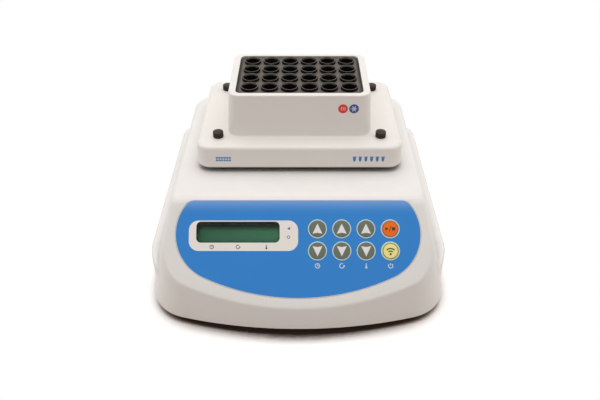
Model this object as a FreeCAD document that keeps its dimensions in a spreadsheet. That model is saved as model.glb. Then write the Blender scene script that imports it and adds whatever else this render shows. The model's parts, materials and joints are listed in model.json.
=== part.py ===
"""Bench thermo-shaker with a block for 24 tubes: parametric model, millimetres, +Z up.

Origin: on the ground, in the middle of the object's length and width. The panel faces -Y.
"""
import FreeCAD, Part
import math
import os
import re

import Sketcher
from FreeCAD import Placement, Rotation, Vector

# Driving dimensions, millimetres and degrees. The sheet of the document holds them all.
SIZES = {
    # Casing
    "foot_height": 7.0,
    "casing_height": 84.9,
    "casing_wall": 2.5,
    "front_bow_radius": 355.0,
    "front_corner_radius": 37.0,
    "rear_corner_radius": 19.0,
    "deck_border_side": 14.3,
    "deck_border_front": 33.3,
    "deck_border_rear": 16.3,
    "skirt_reach_side": 21.4,
    "skirt_reach_rear": 20.0,
    "panel_foot": 9.08,
    "front_batter": 3.0,
    "deck_bow_radius": 300.0,
    "deck_corner_radius": 24.0,
    "wall_flare": 15.2,
    "ledge_height": 39.0,
    "ledge_drop": 19.0,
    "ledge_level_front": 62.4,
    "ledge_fade_front": 12.4,
    "skirt_front_setback": 4.0,
    "skirt_front_corner": 45.0,
    "ledge_rounding": 2.0,
    "deck_rounding": 4.0,
    "bend_radius": 16.0,
    "panel_slope": 47.0,
    "deck_opening_gap": 4.0,
    "deck_opening_corner": 10.0,
    "boss_radius": 4.5,
    "running_gap": 0.3,
    "journal_gap": 0.05,
    "overrun": 5.0,
    # Base tray and feet
    "tray_thickness": 2.5,
    "tray_recess": 1.0,
    "tray_gap": 0.3,
    "foot_radius": 9.0,
    "foot_taper": 1.5,
    "foot_pocket_radius": 3.4,
    "foot_pocket_depth": 4.0,
    "foot_inset_side": 25.0,
    "foot_inset_front": 50.4,
    "foot_inset_rear": 32.4,
    "case_screw_head_radius": 3.5,
    "case_screw_head_height": 2.2,
    "case_screw_radius": 1.5,
    "case_screw_length": 10.0,
    # Panel, measured on the slope from the bend line
    "overlay_thickness": 0.5,
    "overlay_recess": 0.4,
    "overlay_gap": 0.2,
    "overlay_top": 2.6,
    "overlay_bottom": 78.6,
    "overlay_border": 3.6,
    "overlay_side_radius": 37.2,
    "overlay_bow_radius": 178.0,
    "overlay_corner_radius": 8.0,
    "window_width": 64.1,
    "window_height": 15.0,
    "window_corner": 3.6,
    "window_x": -46.5,
    "window_slope": 28.3,
    "display_glass_depth": 0.8,
    "display_glass_thickness": 2.0,
    "module_width": 80.0,
    "module_height": 36.0,
    "module_frame_width": 71.0,
    "module_frame_height": 24.5,
    "module_rail_side": 2.5,
    "module_rail_top": 3.75,
    "module_depth": 5.0,
    "board_thickness": 1.6,
    "key_x": 14.9,
    "key_pitch_x": 18.75,
    "key_slope": 25.2,
    "key_pitch_slope": 17.0,
    "key_radius": 6.45,
    "key_gap": 0.1,
    "key_flange": 0.9,
    "key_flange_height": 0.8,
    "key_proud": 0.45,
    "key_crown": 0.25,
    "key_travel": 0.4,
    "key_rim_width": 0.75,
    "key_rim_height": 0.3,
    "key_board_width": 84.0,
    "key_board_height": 42.0,
    "switch_pad": 6.2,
    "switch_pad_height": 2.5,
    "switch_button_radius": 1.75,
    "switch_button_height": 0.5,
    "panel_post_radius": 2.5,
    "panel_post_inset": 2.8,
    "panel_screw_radius": 2.5,
    "panel_screw_height": 1.6,
    "panel_shank_radius": 1.1,
    "panel_shank_length": 3.5,
    # Rear panel
    "rear_recess_width": 96.0,
    "rear_recess_height": 28.0,
    "rear_recess_depth": 5.0,
    "rear_recess_bottom": 6.0,
    "rocker_x": 30.0,
    "inlet_x": -30.0,
    "switch_bezel_width": 21.0,
    "switch_bezel_height": 15.0,
    "switch_bezel_depth": 1.6,
    "switch_body_width": 18.6,
    "switch_body_height": 12.8,
    "switch_body_depth": 18.0,
    "rocker_height": 10.0,
    "rocker_throw": 20.0,
    "rocker_radius": 7.3,
    "inlet_flange_radius": 6.5,
    "inlet_flange_depth": 1.6,
    "inlet_body_radius": 5.4,
    "inlet_body_depth": 13.0,
    "inlet_bore_radius": 3.1,
    "inlet_bore_depth": 10.0,
    "inlet_pin_radius": 1.1,
    "vent_count": 17,
    "vent_pitch": 6.0,
    "vent_width": 2.4,
    "vent_height": 22.0,
    "vent_bottom": 50.0,
    # Electronics in the base tray
    "main_board_width": 100.0,
    "main_board_depth": 56.0,
    "main_board_inset_side": 74.0,
    "tray_parts_inset_front": 64.4,
    "standoff_height": 6.0,
    "standoff_radius": 3.0,
    "standoff_inset": 5.0,
    "fan_size": 60.0,
    "fan_depth": 15.0,
    "fan_inset_side": 62.0,
    "fan_duct_radius": 28.5,
    "fan_hub_radius": 12.0,
    "fan_blade_gap": 1.0,
    "fan_blade_thickness": 1.4,
    "fan_blade_count": 7,
    "fan_blade_tilt": 38.0,
    "fan_hub_plate": 2.0,
    "fan_screw_head_radius": 3.4,
    "fan_screw_inset": 5.0,
    "fan_screw_radius": 2.1,
    "grille_slot": 3.4,
    "grille_pitch": 6.0,
    "grille_slot_count": 9,
    # Shaker drive
    "orbit_radius": 1.0,
    "chassis_reach": 2.0,
    "chassis_corner": 8.0,
    "chassis_thickness": 3.0,
    "chassis_post_radius": 4.0,
    "chassis_post_across": 60.0,
    "chassis_post_inset": 6.0,
    "motor_radius": 26.0,
    "motor_height": 20.0,
    "motor_boss_radius": 7.0,
    "shaft_radius": 3.0,
    "shaft_depth": 18.0,
    "crank_disc_radius": 13.0,
    "crank_level": 39.0,
    "crank_disc_height": 6.0,
    "counterweight_radius": 24.0,
    "journal_radius": 4.0,
    "bearing_radius": 8.0,
    "bearing_width": 5.0,
    "bearing_groove": 0.4,
    "idler_inset": 10.0,
    "idler_disc_radius": 9.0,
    "idler_disc_height": 5.0,
    "idler_shoulder_radius": 5.4,
    "motor_screw_radius": 2.4,
    "motor_screw_height": 1.5,
    "motor_screw_circle": 19.0,
    # Platform
    "frame_level": 47.2,
    "frame_thickness": 5.8,
    "frame_reach": 15.0,
    "flange_overhang_side": 11.3,
    "flange_overhang_front": 11.7,
    "platform_corner": 8.0,
    "platform_thickness": 6.0,
    "platform_post_radius": 4.0,
    "platform_post_inset_side": 13.0,
    "platform_post_inset_front": 18.0,
    "sink_inset_side": 23.0,
    "sink_inset_front": 5.0,
    "sink_base": 5.0,
    "fin_thickness": 1.6,
    "fin_count": 17,
    "peltier_size": 40.0,
    "peltier_thickness": 3.6,
    "peltier_across": 23.0,
    "sensor_radius": 2.5,
    "sensor_length": 3.4,
    # Block
    "block_gap": 4.3,
    "lip_thickness": 1.2,
    "lip_setback": 0.7,
    "housing_draft": 4.0,
    "flange_reach_side": 27.4,
    "flange_reach_front": 20.5,
    "flange_height": 18.65,
    "flange_corner": 12.0,
    "flange_rounding": 3.0,
    "box_border_side": 8.45,
    "box_border_front": 6.9,
    "box_height": 36.15,
    "box_corner": 9.0,
    "box_rounding": 1.2,
    "box_foot_rounding": 1.5,
    "box_wall_side": 5.5,
    "box_wall_front": 4.3,
    "block_recess": 1.3,
    "block_side_gap": 0.4,
    "block_corner": 4.2,
    "block_foot_width": 6.5,
    "block_foot_height": 8.0,
    "well_pitch": 16.15,
    "well_columns": 6,
    "well_rows": 4,
    "well_radius": 5.6,
    "well_depth": 38.0,
    "well_collar_width": 1.5,
    "well_collar_height": 2.2,
    "well_collar_chamfer": 0.5,
    "clamp_inset": 6.5,
    "clamp_head_radius": 4.25,
    "clamp_head_height": 4.8,
    "clamp_groove": 0.35,
    "clamp_groove_width": 0.7,
    "clamp_shank_radius": 2.5,
    "clamp_reach": 5.5,
}

# Sizes that follow from others, from the wells outwards: block, platform, deck, casing and what stands in it
FOLLOWING = {
    "box_half_width": "well_columns * well_pitch / 2 + box_border_side",
    "box_half_depth": "well_rows * well_pitch / 2 + box_border_front",
    "flange_half_width": "box_half_width + flange_reach_side",
    "flange_half_depth": "box_half_depth + flange_reach_front",
    "platform_half_width": "flange_half_width - flange_overhang_side",
    "platform_half_depth": "flange_half_depth - flange_overhang_front",
    "clamp_across": "platform_half_width - clamp_inset",
    "clamp_deep": "platform_half_depth - clamp_inset",
    "platform_post_across": "platform_half_width - platform_post_inset_side",
    "platform_post_deep": "platform_half_depth - platform_post_inset_front",
    "sink_half_width": "platform_half_width - sink_inset_side",
    "sink_half_depth": "platform_half_depth - sink_inset_front",
    "frame_half_width": "platform_half_width + frame_reach",
    "frame_half_depth": "platform_half_depth",
    "idler_across": "frame_half_width - idler_inset",
    "idler_deep": "frame_half_depth - idler_inset",
    "chassis_half_width": "frame_half_width + chassis_reach",
    "chassis_half_depth": "frame_half_depth + chassis_reach",
    "chassis_level": "crank_level - running_gap - bearing_width",
    "deck_half_width": "flange_half_width + deck_border_side",
    "overlay_half_width": "deck_half_width - overlay_border",
    "casing_half_width": "deck_half_width + skirt_reach_side",
    "display_view_width": "module_frame_width - 2 * module_rail_side",
    "display_view_height": "module_frame_height - 2 * module_rail_top",
    "panel_run": "(overlay_bottom + panel_foot) * cos(panel_slope)",
    "deck_half_run": "flange_half_depth + (deck_border_front + deck_border_rear) / 2",
    "casing_half_length": "deck_half_run + (panel_run + skirt_reach_rear) / 2",
    "deck_rear": "casing_half_length - skirt_reach_rear",
    "deck_front": "front_batter - casing_half_length",
    "bend_line": "panel_run - casing_half_length",
    "shaker_y": "deck_rear - deck_border_rear - flange_half_depth",
    "ledge_drop_start": "ledge_level_front - casing_half_length",
    "ledge_drop_end": "ledge_fade_front - casing_half_length",
    "foot_across": "casing_half_width - foot_inset_side",
    "foot_front": "foot_inset_front - casing_half_length",
    "foot_rear": "casing_half_length - foot_inset_rear",
    "main_board_x": "casing_half_width - main_board_inset_side",
    "main_board_y": "tray_parts_inset_front - casing_half_length",
    "fan_x": "fan_inset_side - casing_half_width",
    "fan_y": "tray_parts_inset_front - casing_half_length",
}
HALF_TURN = 180

doc = FreeCAD.newDocument("ThermoShaker")
sheet = doc.addObject("Spreadsheet::Sheet", "Sizes")
for row, (alias, amount) in enumerate({**SIZES, **FOLLOWING}.items(), 1):
    sheet.set(f"A{row}", alias)
    sheet.setAlias(f"B{row}", alias)
    sheet.set(f"B{row}", f"={amount}")
doc.recompute()

# Levels and places that several pieces share, as expressions of the driving dimensions
DECK = "(foot_height + casing_height)"
LEDGE = "(foot_height + ledge_height)"
TRAY_BOTTOM = "(foot_height + tray_recess)"
TRAY_TOP = "(foot_height + tray_recess + tray_thickness)"
CHASSIS_TOP = "(chassis_level + chassis_thickness)"
CHASSIS_POST_DEEP = "(chassis_half_depth - chassis_post_inset)"
FRAME_TOP = "(frame_level + frame_thickness)"
FLANGE_BOTTOM = f"({DECK} + block_gap)"
HOUSING_BOTTOM = f"({FLANGE_BOTTOM} + lip_thickness)"
FLANGE_TOP = f"({FLANGE_BOTTOM} + flange_height)"
RIM = f"({FLANGE_TOP} + box_height)"
BLOCK_TOP = f"({RIM} - block_recess)"
PLATE_BOTTOM = f"({FLANGE_BOTTOM} - platform_thickness)"
PELTIER_BOTTOM = f"({PLATE_BOTTOM} - peltier_thickness)"
SINK_BASE_BOTTOM = f"({PELTIER_BOTTOM} - sink_base)"
OPENING_HALF_WIDTH = "(platform_half_width + deck_opening_gap)"
OPENING_HALF_DEPTH = "(platform_half_depth + deck_opening_gap)"
REAR_FLOOR = "(casing_half_length - rear_recess_depth)"
REAR_MIDDLE = "(foot_height + rear_recess_bottom + rear_recess_height / 2)"
BOARD_SEAT = "(casing_wall + module_depth)"
KEY_FLANGE_DEPTH = "(casing_wall + running_gap)"
SWITCH_DEPTH = f"({KEY_FLANGE_DEPTH} + key_flange_height + key_travel + 2 * journal_gap)"
KEY_BOARD_DEPTH = f"({SWITCH_DEPTH} + switch_button_height + switch_pad_height)"
OPENING_CORNERS = ((-1, -1), (1, -1), (-1, 1), (1, 1))
NODES = []
# How near two numbers lie that count as equal, when an edge is looked for
TOLERANCE = 0.01


def bound(expression):
    """The expression with every size written as a cell of the sheet."""
    def cell(word):
        return f"Sizes.{word[0]}" if word[0] in SIZES or word[0] in FOLLOWING else word[0]
    return re.sub(r"[a-z_]+", cell, expression)


def number(expression):
    """The value of an expression of the driving dimensions."""
    return float(sheet.evalExpression(expression))


def bind(thing, **properties):
    """Bind properties to expressions; a double underscore stands for a dot."""
    for name, expression in properties.items():
        thing.setExpression(name.replace("__", "."), bound(expression))


def place(thing, x="0", y="0", z="0", turn=None):
    """Put an object at bound coordinates, with an optional fixed rotation."""
    if turn is not None:
        thing.Placement = Placement(Vector(), turn)
    bind(thing, Placement__Base__x=x, Placement__Base__y=y, Placement__Base__z=z)
    return thing


def lean(thing, x="0", slope="0", depth="0"):
    """Put an object on the panel: x across, a distance down the slope, and a height over it."""
    thing.Placement = Placement(Vector(), Rotation(Vector(1, 0, 0), number("panel_slope")))
    bind(
        thing,
        Placement__Rotation__Angle="panel_slope",
        Placement__Base__x=x,
        Placement__Base__y=f"bend_line - ({slope}) * cos(panel_slope) - ({depth}) * sin(panel_slope)",
        Placement__Base__z=f"{DECK} - ({slope}) * sin(panel_slope) + ({depth}) * cos(panel_slope)",
    )
    return thing


def node(label, thing):
    """Name a finished piece; its label is its file's name."""
    thing.Label = label
    NODES.append(thing)
    return thing


def cylinder(radius, height, x="0", y="0", z="0", turn=None):
    """Part::Cylinder that stands on the given point."""
    part = doc.addObject("Part::Cylinder", "Cylinder")
    bind(part, Radius=radius, Height=height)
    return place(part, x, y, z, turn)


def cone(radius_low, radius_high, height, x="0", y="0", z="0"):
    """Part::Cone that stands on the given point."""
    part = doc.addObject("Part::Cone", "Cone")
    bind(part, Radius1=radius_low, Radius2=radius_high, Height=height)
    return place(part, x, y, z)


def box(width, depth, height, x="0", y="0", z="0"):
    """Part::Box centred on x and y, standing on z."""
    part = doc.addObject("Part::Box", "Box")
    bind(part, Length=width, Width=depth, Height=height)
    return place(part, f"({x}) - ({width}) / 2", f"({y}) - ({depth}) / 2", z)


def leaning_box(width, height, thickness, x, slope, depth):
    """Box on the panel: width across, height down the slope, its outer face at the given depth under it."""
    part = doc.addObject("Part::Box", "LeaningBox")
    bind(part, Length=width, Width=height, Height=thickness)
    return lean(part, f"({x}) - ({width}) / 2", f"({slope}) + ({height}) / 2", f"-({depth}) - ({thickness})")


def leaning_cylinder(radius, height, x, slope, depth):
    """Cylinder square to the panel, its outer end at the given depth under it."""
    part = doc.addObject("Part::Cylinder", "LeaningCylinder")
    bind(part, Radius=radius, Height=height)
    return lean(part, x, slope, f"-({depth}) - ({height})")


def compound(parts):
    """Several separate solids as one object."""
    group = doc.addObject("Part::Compound", "Group")
    group.Links = list(parts)
    return group


def fuse(*parts):
    """Union of parts."""
    union = doc.addObject("Part::MultiFuse", "Union")
    union.Shapes = list(parts)
    union.Refine = True
    return union


def cut(base, *tools):
    """Base without the tools."""
    result = doc.addObject("Part::Cut", "Cut")
    result.Base = base
    result.Tool = tools[0] if len(tools) == 1 else compound(tools)
    result.Refine = True
    return result


def common(first, second):
    """What two parts share."""
    result = doc.addObject("Part::Common", "Common")
    result.Base = first
    result.Tool = second
    return result


def rounded(base, radius, choose):
    """Part::Fillet on the edges that the test picks."""
    doc.recompute()
    size = number(radius)
    result = doc.addObject("Part::Fillet", "Fillet")
    result.Base = base
    result.Edges = [(i, size, size) for i, edge in enumerate(base.Shape.Edges, 1) if choose(edge)]
    doc.recompute()
    return result


def edge_heights(edge):
    """Lowest and highest z of an edge."""
    return edge.BoundBox.ZMin, edge.BoundBox.ZMax


def lies_at(edge, level):
    """Whether an edge lies in the level plane."""
    low, high = edge_heights(edge)
    return max(abs(low - level), abs(high - level)) < TOLERANCE


def sketch(name, body=None, role="XY_Plane", **offset):
    """Empty sketch, free or on an origin plane of its body."""
    if body is None:
        return doc.addObject("Sketcher::SketchObject", name)
    made = body.newObject("Sketcher::SketchObject", name)
    plane = next(feature for feature in body.Origin.OriginFeatures if feature.Role == role)
    made.AttachmentSupport = [(plane, "")]
    made.MapMode = "FlatFace"
    bind(made, **{f"AttachmentOffset__Base__{axis}": shift for axis, shift in offset.items()})
    return made


def dimension(drawing, kind, *where):
    """Driving constraint; the last item of where is its expression."""
    *geometry, expression = where
    index = drawing.addConstraint(Sketcher.Constraint(kind, *geometry, number(expression)))
    drawing.setExpression(f"Constraints[{index}]", bound(expression))


def arc(centre, radius, start, end):
    """Arc between two angles in degrees, counterclockwise."""
    circle = Part.Circle(Vector(*centre, 0), Vector(0, 0, 1), radius)
    return Part.ArcOfCircle(circle, math.radians(start), math.radians(end))


def line(start, end):
    """Straight edge between two points of a sketch."""
    return Part.LineSegment(Vector(*start, 0), Vector(*end, 0))


def close_smoothly(drawing, count):
    """Join each edge to the next one, tangent, round the whole outline."""
    for edge in range(count):
        drawing.addConstraint(Sketcher.Constraint("Tangent", edge, 2, (edge + 1) % count, 1))


def draw_circle(drawing, radius):
    """Circle round the sketch's origin."""
    index = drawing.addGeometry(Part.Circle(Vector(), Vector(0, 0, 1), number(radius)))
    drawing.addConstraint(Sketcher.Constraint("Coincident", index, 3, -1, 1))
    dimension(drawing, "Radius", index, radius)
    return drawing


def draw_rounded_rectangle(drawing, half_width, half_depth, corner):
    """Rectangle with round corners, centred on the sketch's origin."""
    w, d, r = number(half_width), number(half_depth), number(corner)
    x, y = w - r, d - r
    drawing.addGeometry([
        line((-x, -d), (x, -d)), arc((x, -y), r, 270, 360),
        line((w, -y), (w, y)), arc((x, y), r, 0, 90),
        line((x, d), (-x, d)), arc((-x, y), r, 90, 180),
        line((-w, y), (-w, -y)), arc((-x, -y), r, 180, 270),
    ])
    close_smoothly(drawing, 8)
    for edge, kind in ((0, "Horizontal"), (2, "Vertical"), (4, "Horizontal"), (6, "Vertical")):
        drawing.addConstraint(Sketcher.Constraint(kind, edge))
    for corner_edge in (3, 5, 7):
        drawing.addConstraint(Sketcher.Constraint("Equal", 1, corner_edge))
    dimension(drawing, "Radius", 1, corner)
    dimension(drawing, "DistanceX", -1, 1, 2, 1, half_width)
    dimension(drawing, "DistanceX", 6, 1, -1, 1, half_width)
    dimension(drawing, "DistanceY", -1, 1, 4, 1, half_depth)
    dimension(drawing, "DistanceY", 0, 1, -1, 1, half_depth)
    return drawing


def draw_casing_outline(drawing, half_width, front, bow, front_corner, rear, rear_corner):
    """Plan outline of the casing: bowed front, straight sides and rear, four round corners."""
    w, f, bow_radius, r = number(half_width), number(front), number(bow), number(front_corner)
    b, q = number(rear), number(rear_corner)
    middle = f + bow_radius
    corner_x = w - r
    corner_y = middle - math.sqrt((bow_radius - r) ** 2 - corner_x ** 2)
    lean_angle = math.degrees(math.atan2(middle - corner_y, corner_x))
    drawing.addGeometry([
        arc((0, middle), bow_radius, 180 + lean_angle, 360 - lean_angle),
        arc((corner_x, corner_y), r, 360 - lean_angle, 360),
        line((w, corner_y), (w, b - q)), arc((w - q, b - q), q, 0, 90),
        line((w - q, b), (q - w, b)), arc((q - w, b - q), q, 90, 180),
        line((-w, b - q), (-w, corner_y)),
        arc((-corner_x, corner_y), r, 180, 180 + lean_angle),
    ])
    close_smoothly(drawing, 8)
    drawing.addConstraint([
        Sketcher.Constraint("Vertical", 2),
        Sketcher.Constraint("Horizontal", 4),
        Sketcher.Constraint("Vertical", 6),
        Sketcher.Constraint("Equal", 1, 7),
        Sketcher.Constraint("Equal", 3, 5),
        Sketcher.Constraint("PointOnObject", 0, 3, -2),
    ])
    dimension(drawing, "Radius", 0, bow)
    dimension(drawing, "Radius", 1, front_corner)
    dimension(drawing, "Radius", 3, rear_corner)
    dimension(drawing, "DistanceX", -1, 1, 2, 1, half_width)
    dimension(drawing, "DistanceX", 6, 1, -1, 1, half_width)
    dimension(drawing, "DistanceY", -1, 1, 4, 1, rear)
    dimension(drawing, "DistanceY", -1, 1, 0, 3, f"({front}) + ({bow})")
    return drawing


def extrude(profile, length, direction=Vector(0, 0, 1), both=False):
    """Part::Extrusion of a free sketch."""
    result = doc.addObject("Part::Extrusion", "Extrusion")
    result.Base = profile
    result.DirMode = "Custom"
    result.Dir = direction
    result.Solid = True
    result.Symmetric = both
    bind(result, LengthFwd=length)
    return result


def loft(low, high):
    """Ruled solid between two outlines."""
    result = doc.addObject("Part::Loft", "Loft")
    result.Sections = [low, high]
    result.Solid = True
    result.Ruled = True
    return result


def body(label):
    """New PartDesign body."""
    made = doc.addObject("PartDesign::Body", label)
    return made


def pad(owner, profile, length):
    """Pad a sketch of the body."""
    feature = owner.newObject("PartDesign::Pad", "Pad")
    feature.Profile = profile
    bind(feature, Length=length)
    doc.recompute()
    return feature


def pocket(owner, profile, length):
    """Pocket below a sketch of the body, with a test that it removes material."""
    before = owner.Shape.Volume
    feature = owner.newObject("PartDesign::Pocket", "Pocket")
    feature.Profile = profile
    bind(feature, Length=length)
    doc.recompute()
    if not owner.Shape.Volume < before:
        raise ValueError(f"a pocket of {owner.Label} cuts nothing")
    return feature


def round_edges(owner, radius, choose):
    """PartDesign fillet on the edges of the body that the test picks."""
    base = owner.Tip
    feature = owner.newObject("PartDesign::Fillet", "Fillet")
    names = [f"Edge{i}" for i, edge in enumerate(base.Shape.Edges, 1) if choose(edge)]
    feature.Base = (base, names)
    bind(feature, Radius=radius)
    doc.recompute()
    return feature


def revolve(label, draw, role="XZ_Plane"):
    """Body turned from a half profile that draw adds to its sketch, round the vertical axis."""
    owner = body(label)
    profile = sketch("Profile", owner, role)
    draw(profile)
    feature = owner.newObject("PartDesign::Revolution", "Revolution")
    feature.Profile = profile
    feature.ReferenceAxis = (profile, ["V_Axis"])
    doc.recompute()
    return owner


def draw_half_profile(points):
    """Drawing function for a closed half profile; each point is a radius and a height expression."""
    def draw(profile):
        spots = [(number(radius), number(height)) for radius, height in points]
        count = len(spots)
        profile.addGeometry([line(spots[i], spots[(i + 1) % count]) for i in range(count)])
        for i in range(count):
            profile.addConstraint(Sketcher.Constraint("Coincident", i, 2, (i + 1) % count, 1))
        for i, (radius, height) in enumerate(points):
            if spots[i][0] == 0:
                profile.addConstraint(Sketcher.Constraint("PointOnObject", i, 1, -2))
            else:
                dimension(profile, "DistanceX", -1, 1, i, 1, radius)
            if spots[i][1] == 0:
                profile.addConstraint(Sketcher.Constraint("PointOnObject", i, 1, -1))
            else:
                dimension(profile, "DistanceY", -1, 1, i, 1, height)
    return draw


# Casing

SIDE_VIEW = Rotation(Vector(0, 1, 0), Vector(0, 0, 1), Vector(1, 0, 0), "XYZ")


def upper_body(inset):
    """Flared body under deck and panel, every wall moved in by the inset."""
    flare = "casing_height * tan(wall_flare)"
    low = place(sketch("UpperBodyLow"), z="foot_height")
    draw_casing_outline(
        low, f"deck_half_width + {flare} - {inset}", f"{inset} - casing_half_length",
        f"front_bow_radius - {inset}", f"front_corner_radius - {inset}",
        f"deck_rear + {flare} - {inset}", f"deck_corner_radius - {inset}",
    )
    high = place(sketch("UpperBodyHigh"), z=DECK)
    draw_casing_outline(
        high, f"deck_half_width - {inset}", f"deck_front + {inset}", f"deck_bow_radius - {inset}",
        f"deck_corner_radius - {inset}", f"deck_rear - {inset}", f"deck_corner_radius - {inset}",
    )
    plan = place(sketch("CasingPlan"), z="foot_height")
    draw_casing_outline(
        plan, f"casing_half_width - {inset}", f"{inset} - casing_half_length", f"front_bow_radius - {inset}",
        f"front_corner_radius - {inset}", f"casing_half_length - {inset}", f"rear_corner_radius - {inset}",
    )
    trimmed = common(loft(low, high), extrude(plan, f"casing_height + {inset}"))
    return common(trimmed, panel_side_profile(inset))


def panel_side_profile(inset):
    """Wide block under the deck, the bend and the sloping panel, seen from the side."""
    profile = sketch("PanelSideProfile")
    rear, floor = "casing_half_length + overrun", "foot_height - overrun"
    deck = f"{DECK} - {inset}"
    corner = f"(bend_line + {inset} * tan(panel_slope / 2))"
    bend = f"(bend_radius - {inset})"
    bend_x = f"{corner} + {bend} * tan(panel_slope / 2)"
    front = "0 - casing_half_length - overrun"
    foot = f"{deck} - ({corner} - ({front})) * tan(panel_slope)"
    a, b = number(rear), number(floor)
    top, left, low = number(deck), number(front), number(foot)
    radius, middle, slope = number(bend), number(bend_x), number("panel_slope")
    turn_x = middle - radius * math.sin(math.radians(slope))
    turn_y = top - radius + radius * math.cos(math.radians(slope))
    profile.addGeometry([
        line((a, b), (a, top)), line((a, top), (middle, top)),
        arc((middle, top - radius), radius, 90, 90 + slope),
        line((turn_x, turn_y), (left, low)), line((left, low), (left, b)), line((left, b), (a, b)),
    ])
    profile.addConstraint([
        Sketcher.Constraint("Coincident", 0, 2, 1, 1),
        Sketcher.Constraint("Tangent", 1, 2, 2, 1),
        Sketcher.Constraint("Tangent", 2, 2, 3, 1),
        Sketcher.Constraint("Coincident", 3, 2, 4, 1),
        Sketcher.Constraint("Coincident", 4, 2, 5, 1),
        Sketcher.Constraint("Coincident", 5, 2, 0, 1),
        Sketcher.Constraint("Vertical", 0),
        Sketcher.Constraint("Horizontal", 1),
        Sketcher.Constraint("Vertical", 4),
        Sketcher.Constraint("Horizontal", 5),
    ])
    dimension(profile, "DistanceX", -1, 1, 0, 1, rear)
    dimension(profile, "DistanceY", -1, 1, 0, 1, floor)
    dimension(profile, "DistanceY", -1, 1, 0, 2, deck)
    dimension(profile, "Radius", 2, bend)
    dimension(profile, "DistanceX", -1, 1, 2, 3, bend_x)
    dimension(profile, "DistanceX", -1, 1, 3, 2, front)
    dimension(profile, "DistanceY", -1, 1, 3, 2, foot)
    profile.Placement = Placement(Vector(), SIDE_VIEW)
    return extrude(profile, "2 * (casing_half_width + overrun)", Vector(1, 0, 0), both=True)


def skirt(inset):
    """Low band round the sides and rear; its top is a ledge that dips and fades at the front corners."""
    plan = place(sketch("SkirtPlan"), z="foot_height")
    draw_casing_outline(
        plan, f"casing_half_width - {inset}", f"{inset} + skirt_front_setback - casing_half_length",
        f"front_bow_radius - {inset}", f"skirt_front_corner - {inset}",
        f"casing_half_length - {inset}", f"rear_corner_radius - {inset}",
    )
    return common(extrude(plan, f"ledge_height + {inset}"), ledge_side_profile(inset))


def ledge_side_profile(inset):
    """Wide block under the ledge, seen from the side: level, then an arc down towards the front."""
    profile = sketch("LedgeSideProfile")
    rear, floor, top = "casing_half_length + overrun", "foot_height - overrun", f"{LEDGE} - {inset}"
    run = "(ledge_drop_start - ledge_drop_end)"
    bend = f"(({run} * {run} + ledge_drop * ledge_drop) / (2 * ledge_drop))"
    a, b, level = number(rear), number(floor), number(top)
    start, end, radius = number("ledge_drop_start"), number("ledge_drop_end"), number(bend)
    sweep = math.degrees(math.asin((start - end) / radius))
    dipped = level - number("ledge_drop")
    profile.addGeometry([
        line((a, b), (a, level)), line((a, level), (start, level)),
        arc((start, level - radius), radius, 90, 90 + sweep),
        line((end, dipped), (end, b)), line((end, b), (a, b)),
    ])
    profile.addConstraint([
        Sketcher.Constraint("Coincident", 0, 2, 1, 1),
        Sketcher.Constraint("Tangent", 1, 2, 2, 1),
        Sketcher.Constraint("Coincident", 2, 2, 3, 1),
        Sketcher.Constraint("Coincident", 3, 2, 4, 1),
        Sketcher.Constraint("Coincident", 4, 2, 0, 1),
        Sketcher.Constraint("Vertical", 0),
        Sketcher.Constraint("Horizontal", 1),
        Sketcher.Constraint("Vertical", 3),
        Sketcher.Constraint("Horizontal", 4),
    ])
    dimension(profile, "DistanceX", -1, 1, 0, 1, rear)
    dimension(profile, "DistanceY", -1, 1, 0, 1, floor)
    dimension(profile, "DistanceY", -1, 1, 0, 2, top)
    dimension(profile, "DistanceX", -1, 1, 2, 1, "ledge_drop_start")
    dimension(profile, "Radius", 2, bend)
    dimension(profile, "DistanceX", -1, 1, 3, 2, "ledge_drop_end")
    profile.Placement = Placement(Vector(), SIDE_VIEW)
    return extrude(profile, "2 * (casing_half_width + overrun)", Vector(1, 0, 0), both=True)


def panel_skin_height(y):
    """Height of deck, bend or panel over a place along Y."""
    deck, slope = number(DECK), math.radians(number("panel_slope"))
    radius = number("bend_radius")
    start = number("bend_line") + radius * math.tan(slope / 2)
    end = start - radius * math.sin(slope)
    if y >= start:
        return deck
    if y >= end:
        return deck - radius + math.sqrt(radius ** 2 - (start - y) ** 2)
    return deck - (number("bend_line") - y) * math.tan(slope)


def is_deck_outline(edge):
    """Whether an edge is where deck, bend or panel meets the outer wall."""
    middle = edge.valueAt((edge.FirstParameter + edge.LastParameter) / 2)
    crosses = edge.BoundBox.YLength < TOLERANCE and middle.y < 0
    return abs(middle.z - panel_skin_height(middle.y)) < TOLERANCE and not crosses


def is_ledge_outline(edge):
    """Whether an edge is on the outer rim of the skirt's top."""
    middle = edge.valueAt((edge.FirstParameter + edge.LastParameter) / 2)
    start, radius_run = number("ledge_drop_start"), number("ledge_drop_start - ledge_drop_end")
    drop = number("ledge_drop")
    radius = (radius_run ** 2 + drop ** 2) / (2 * drop)
    height = number(LEDGE)
    if middle.y < start:
        height -= radius - math.sqrt(radius ** 2 - (start - middle.y) ** 2)
    crosses = edge.BoundBox.YLength < TOLERANCE and middle.y < 0
    return abs(middle.z - height) < TOLERANCE and not crosses


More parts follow.
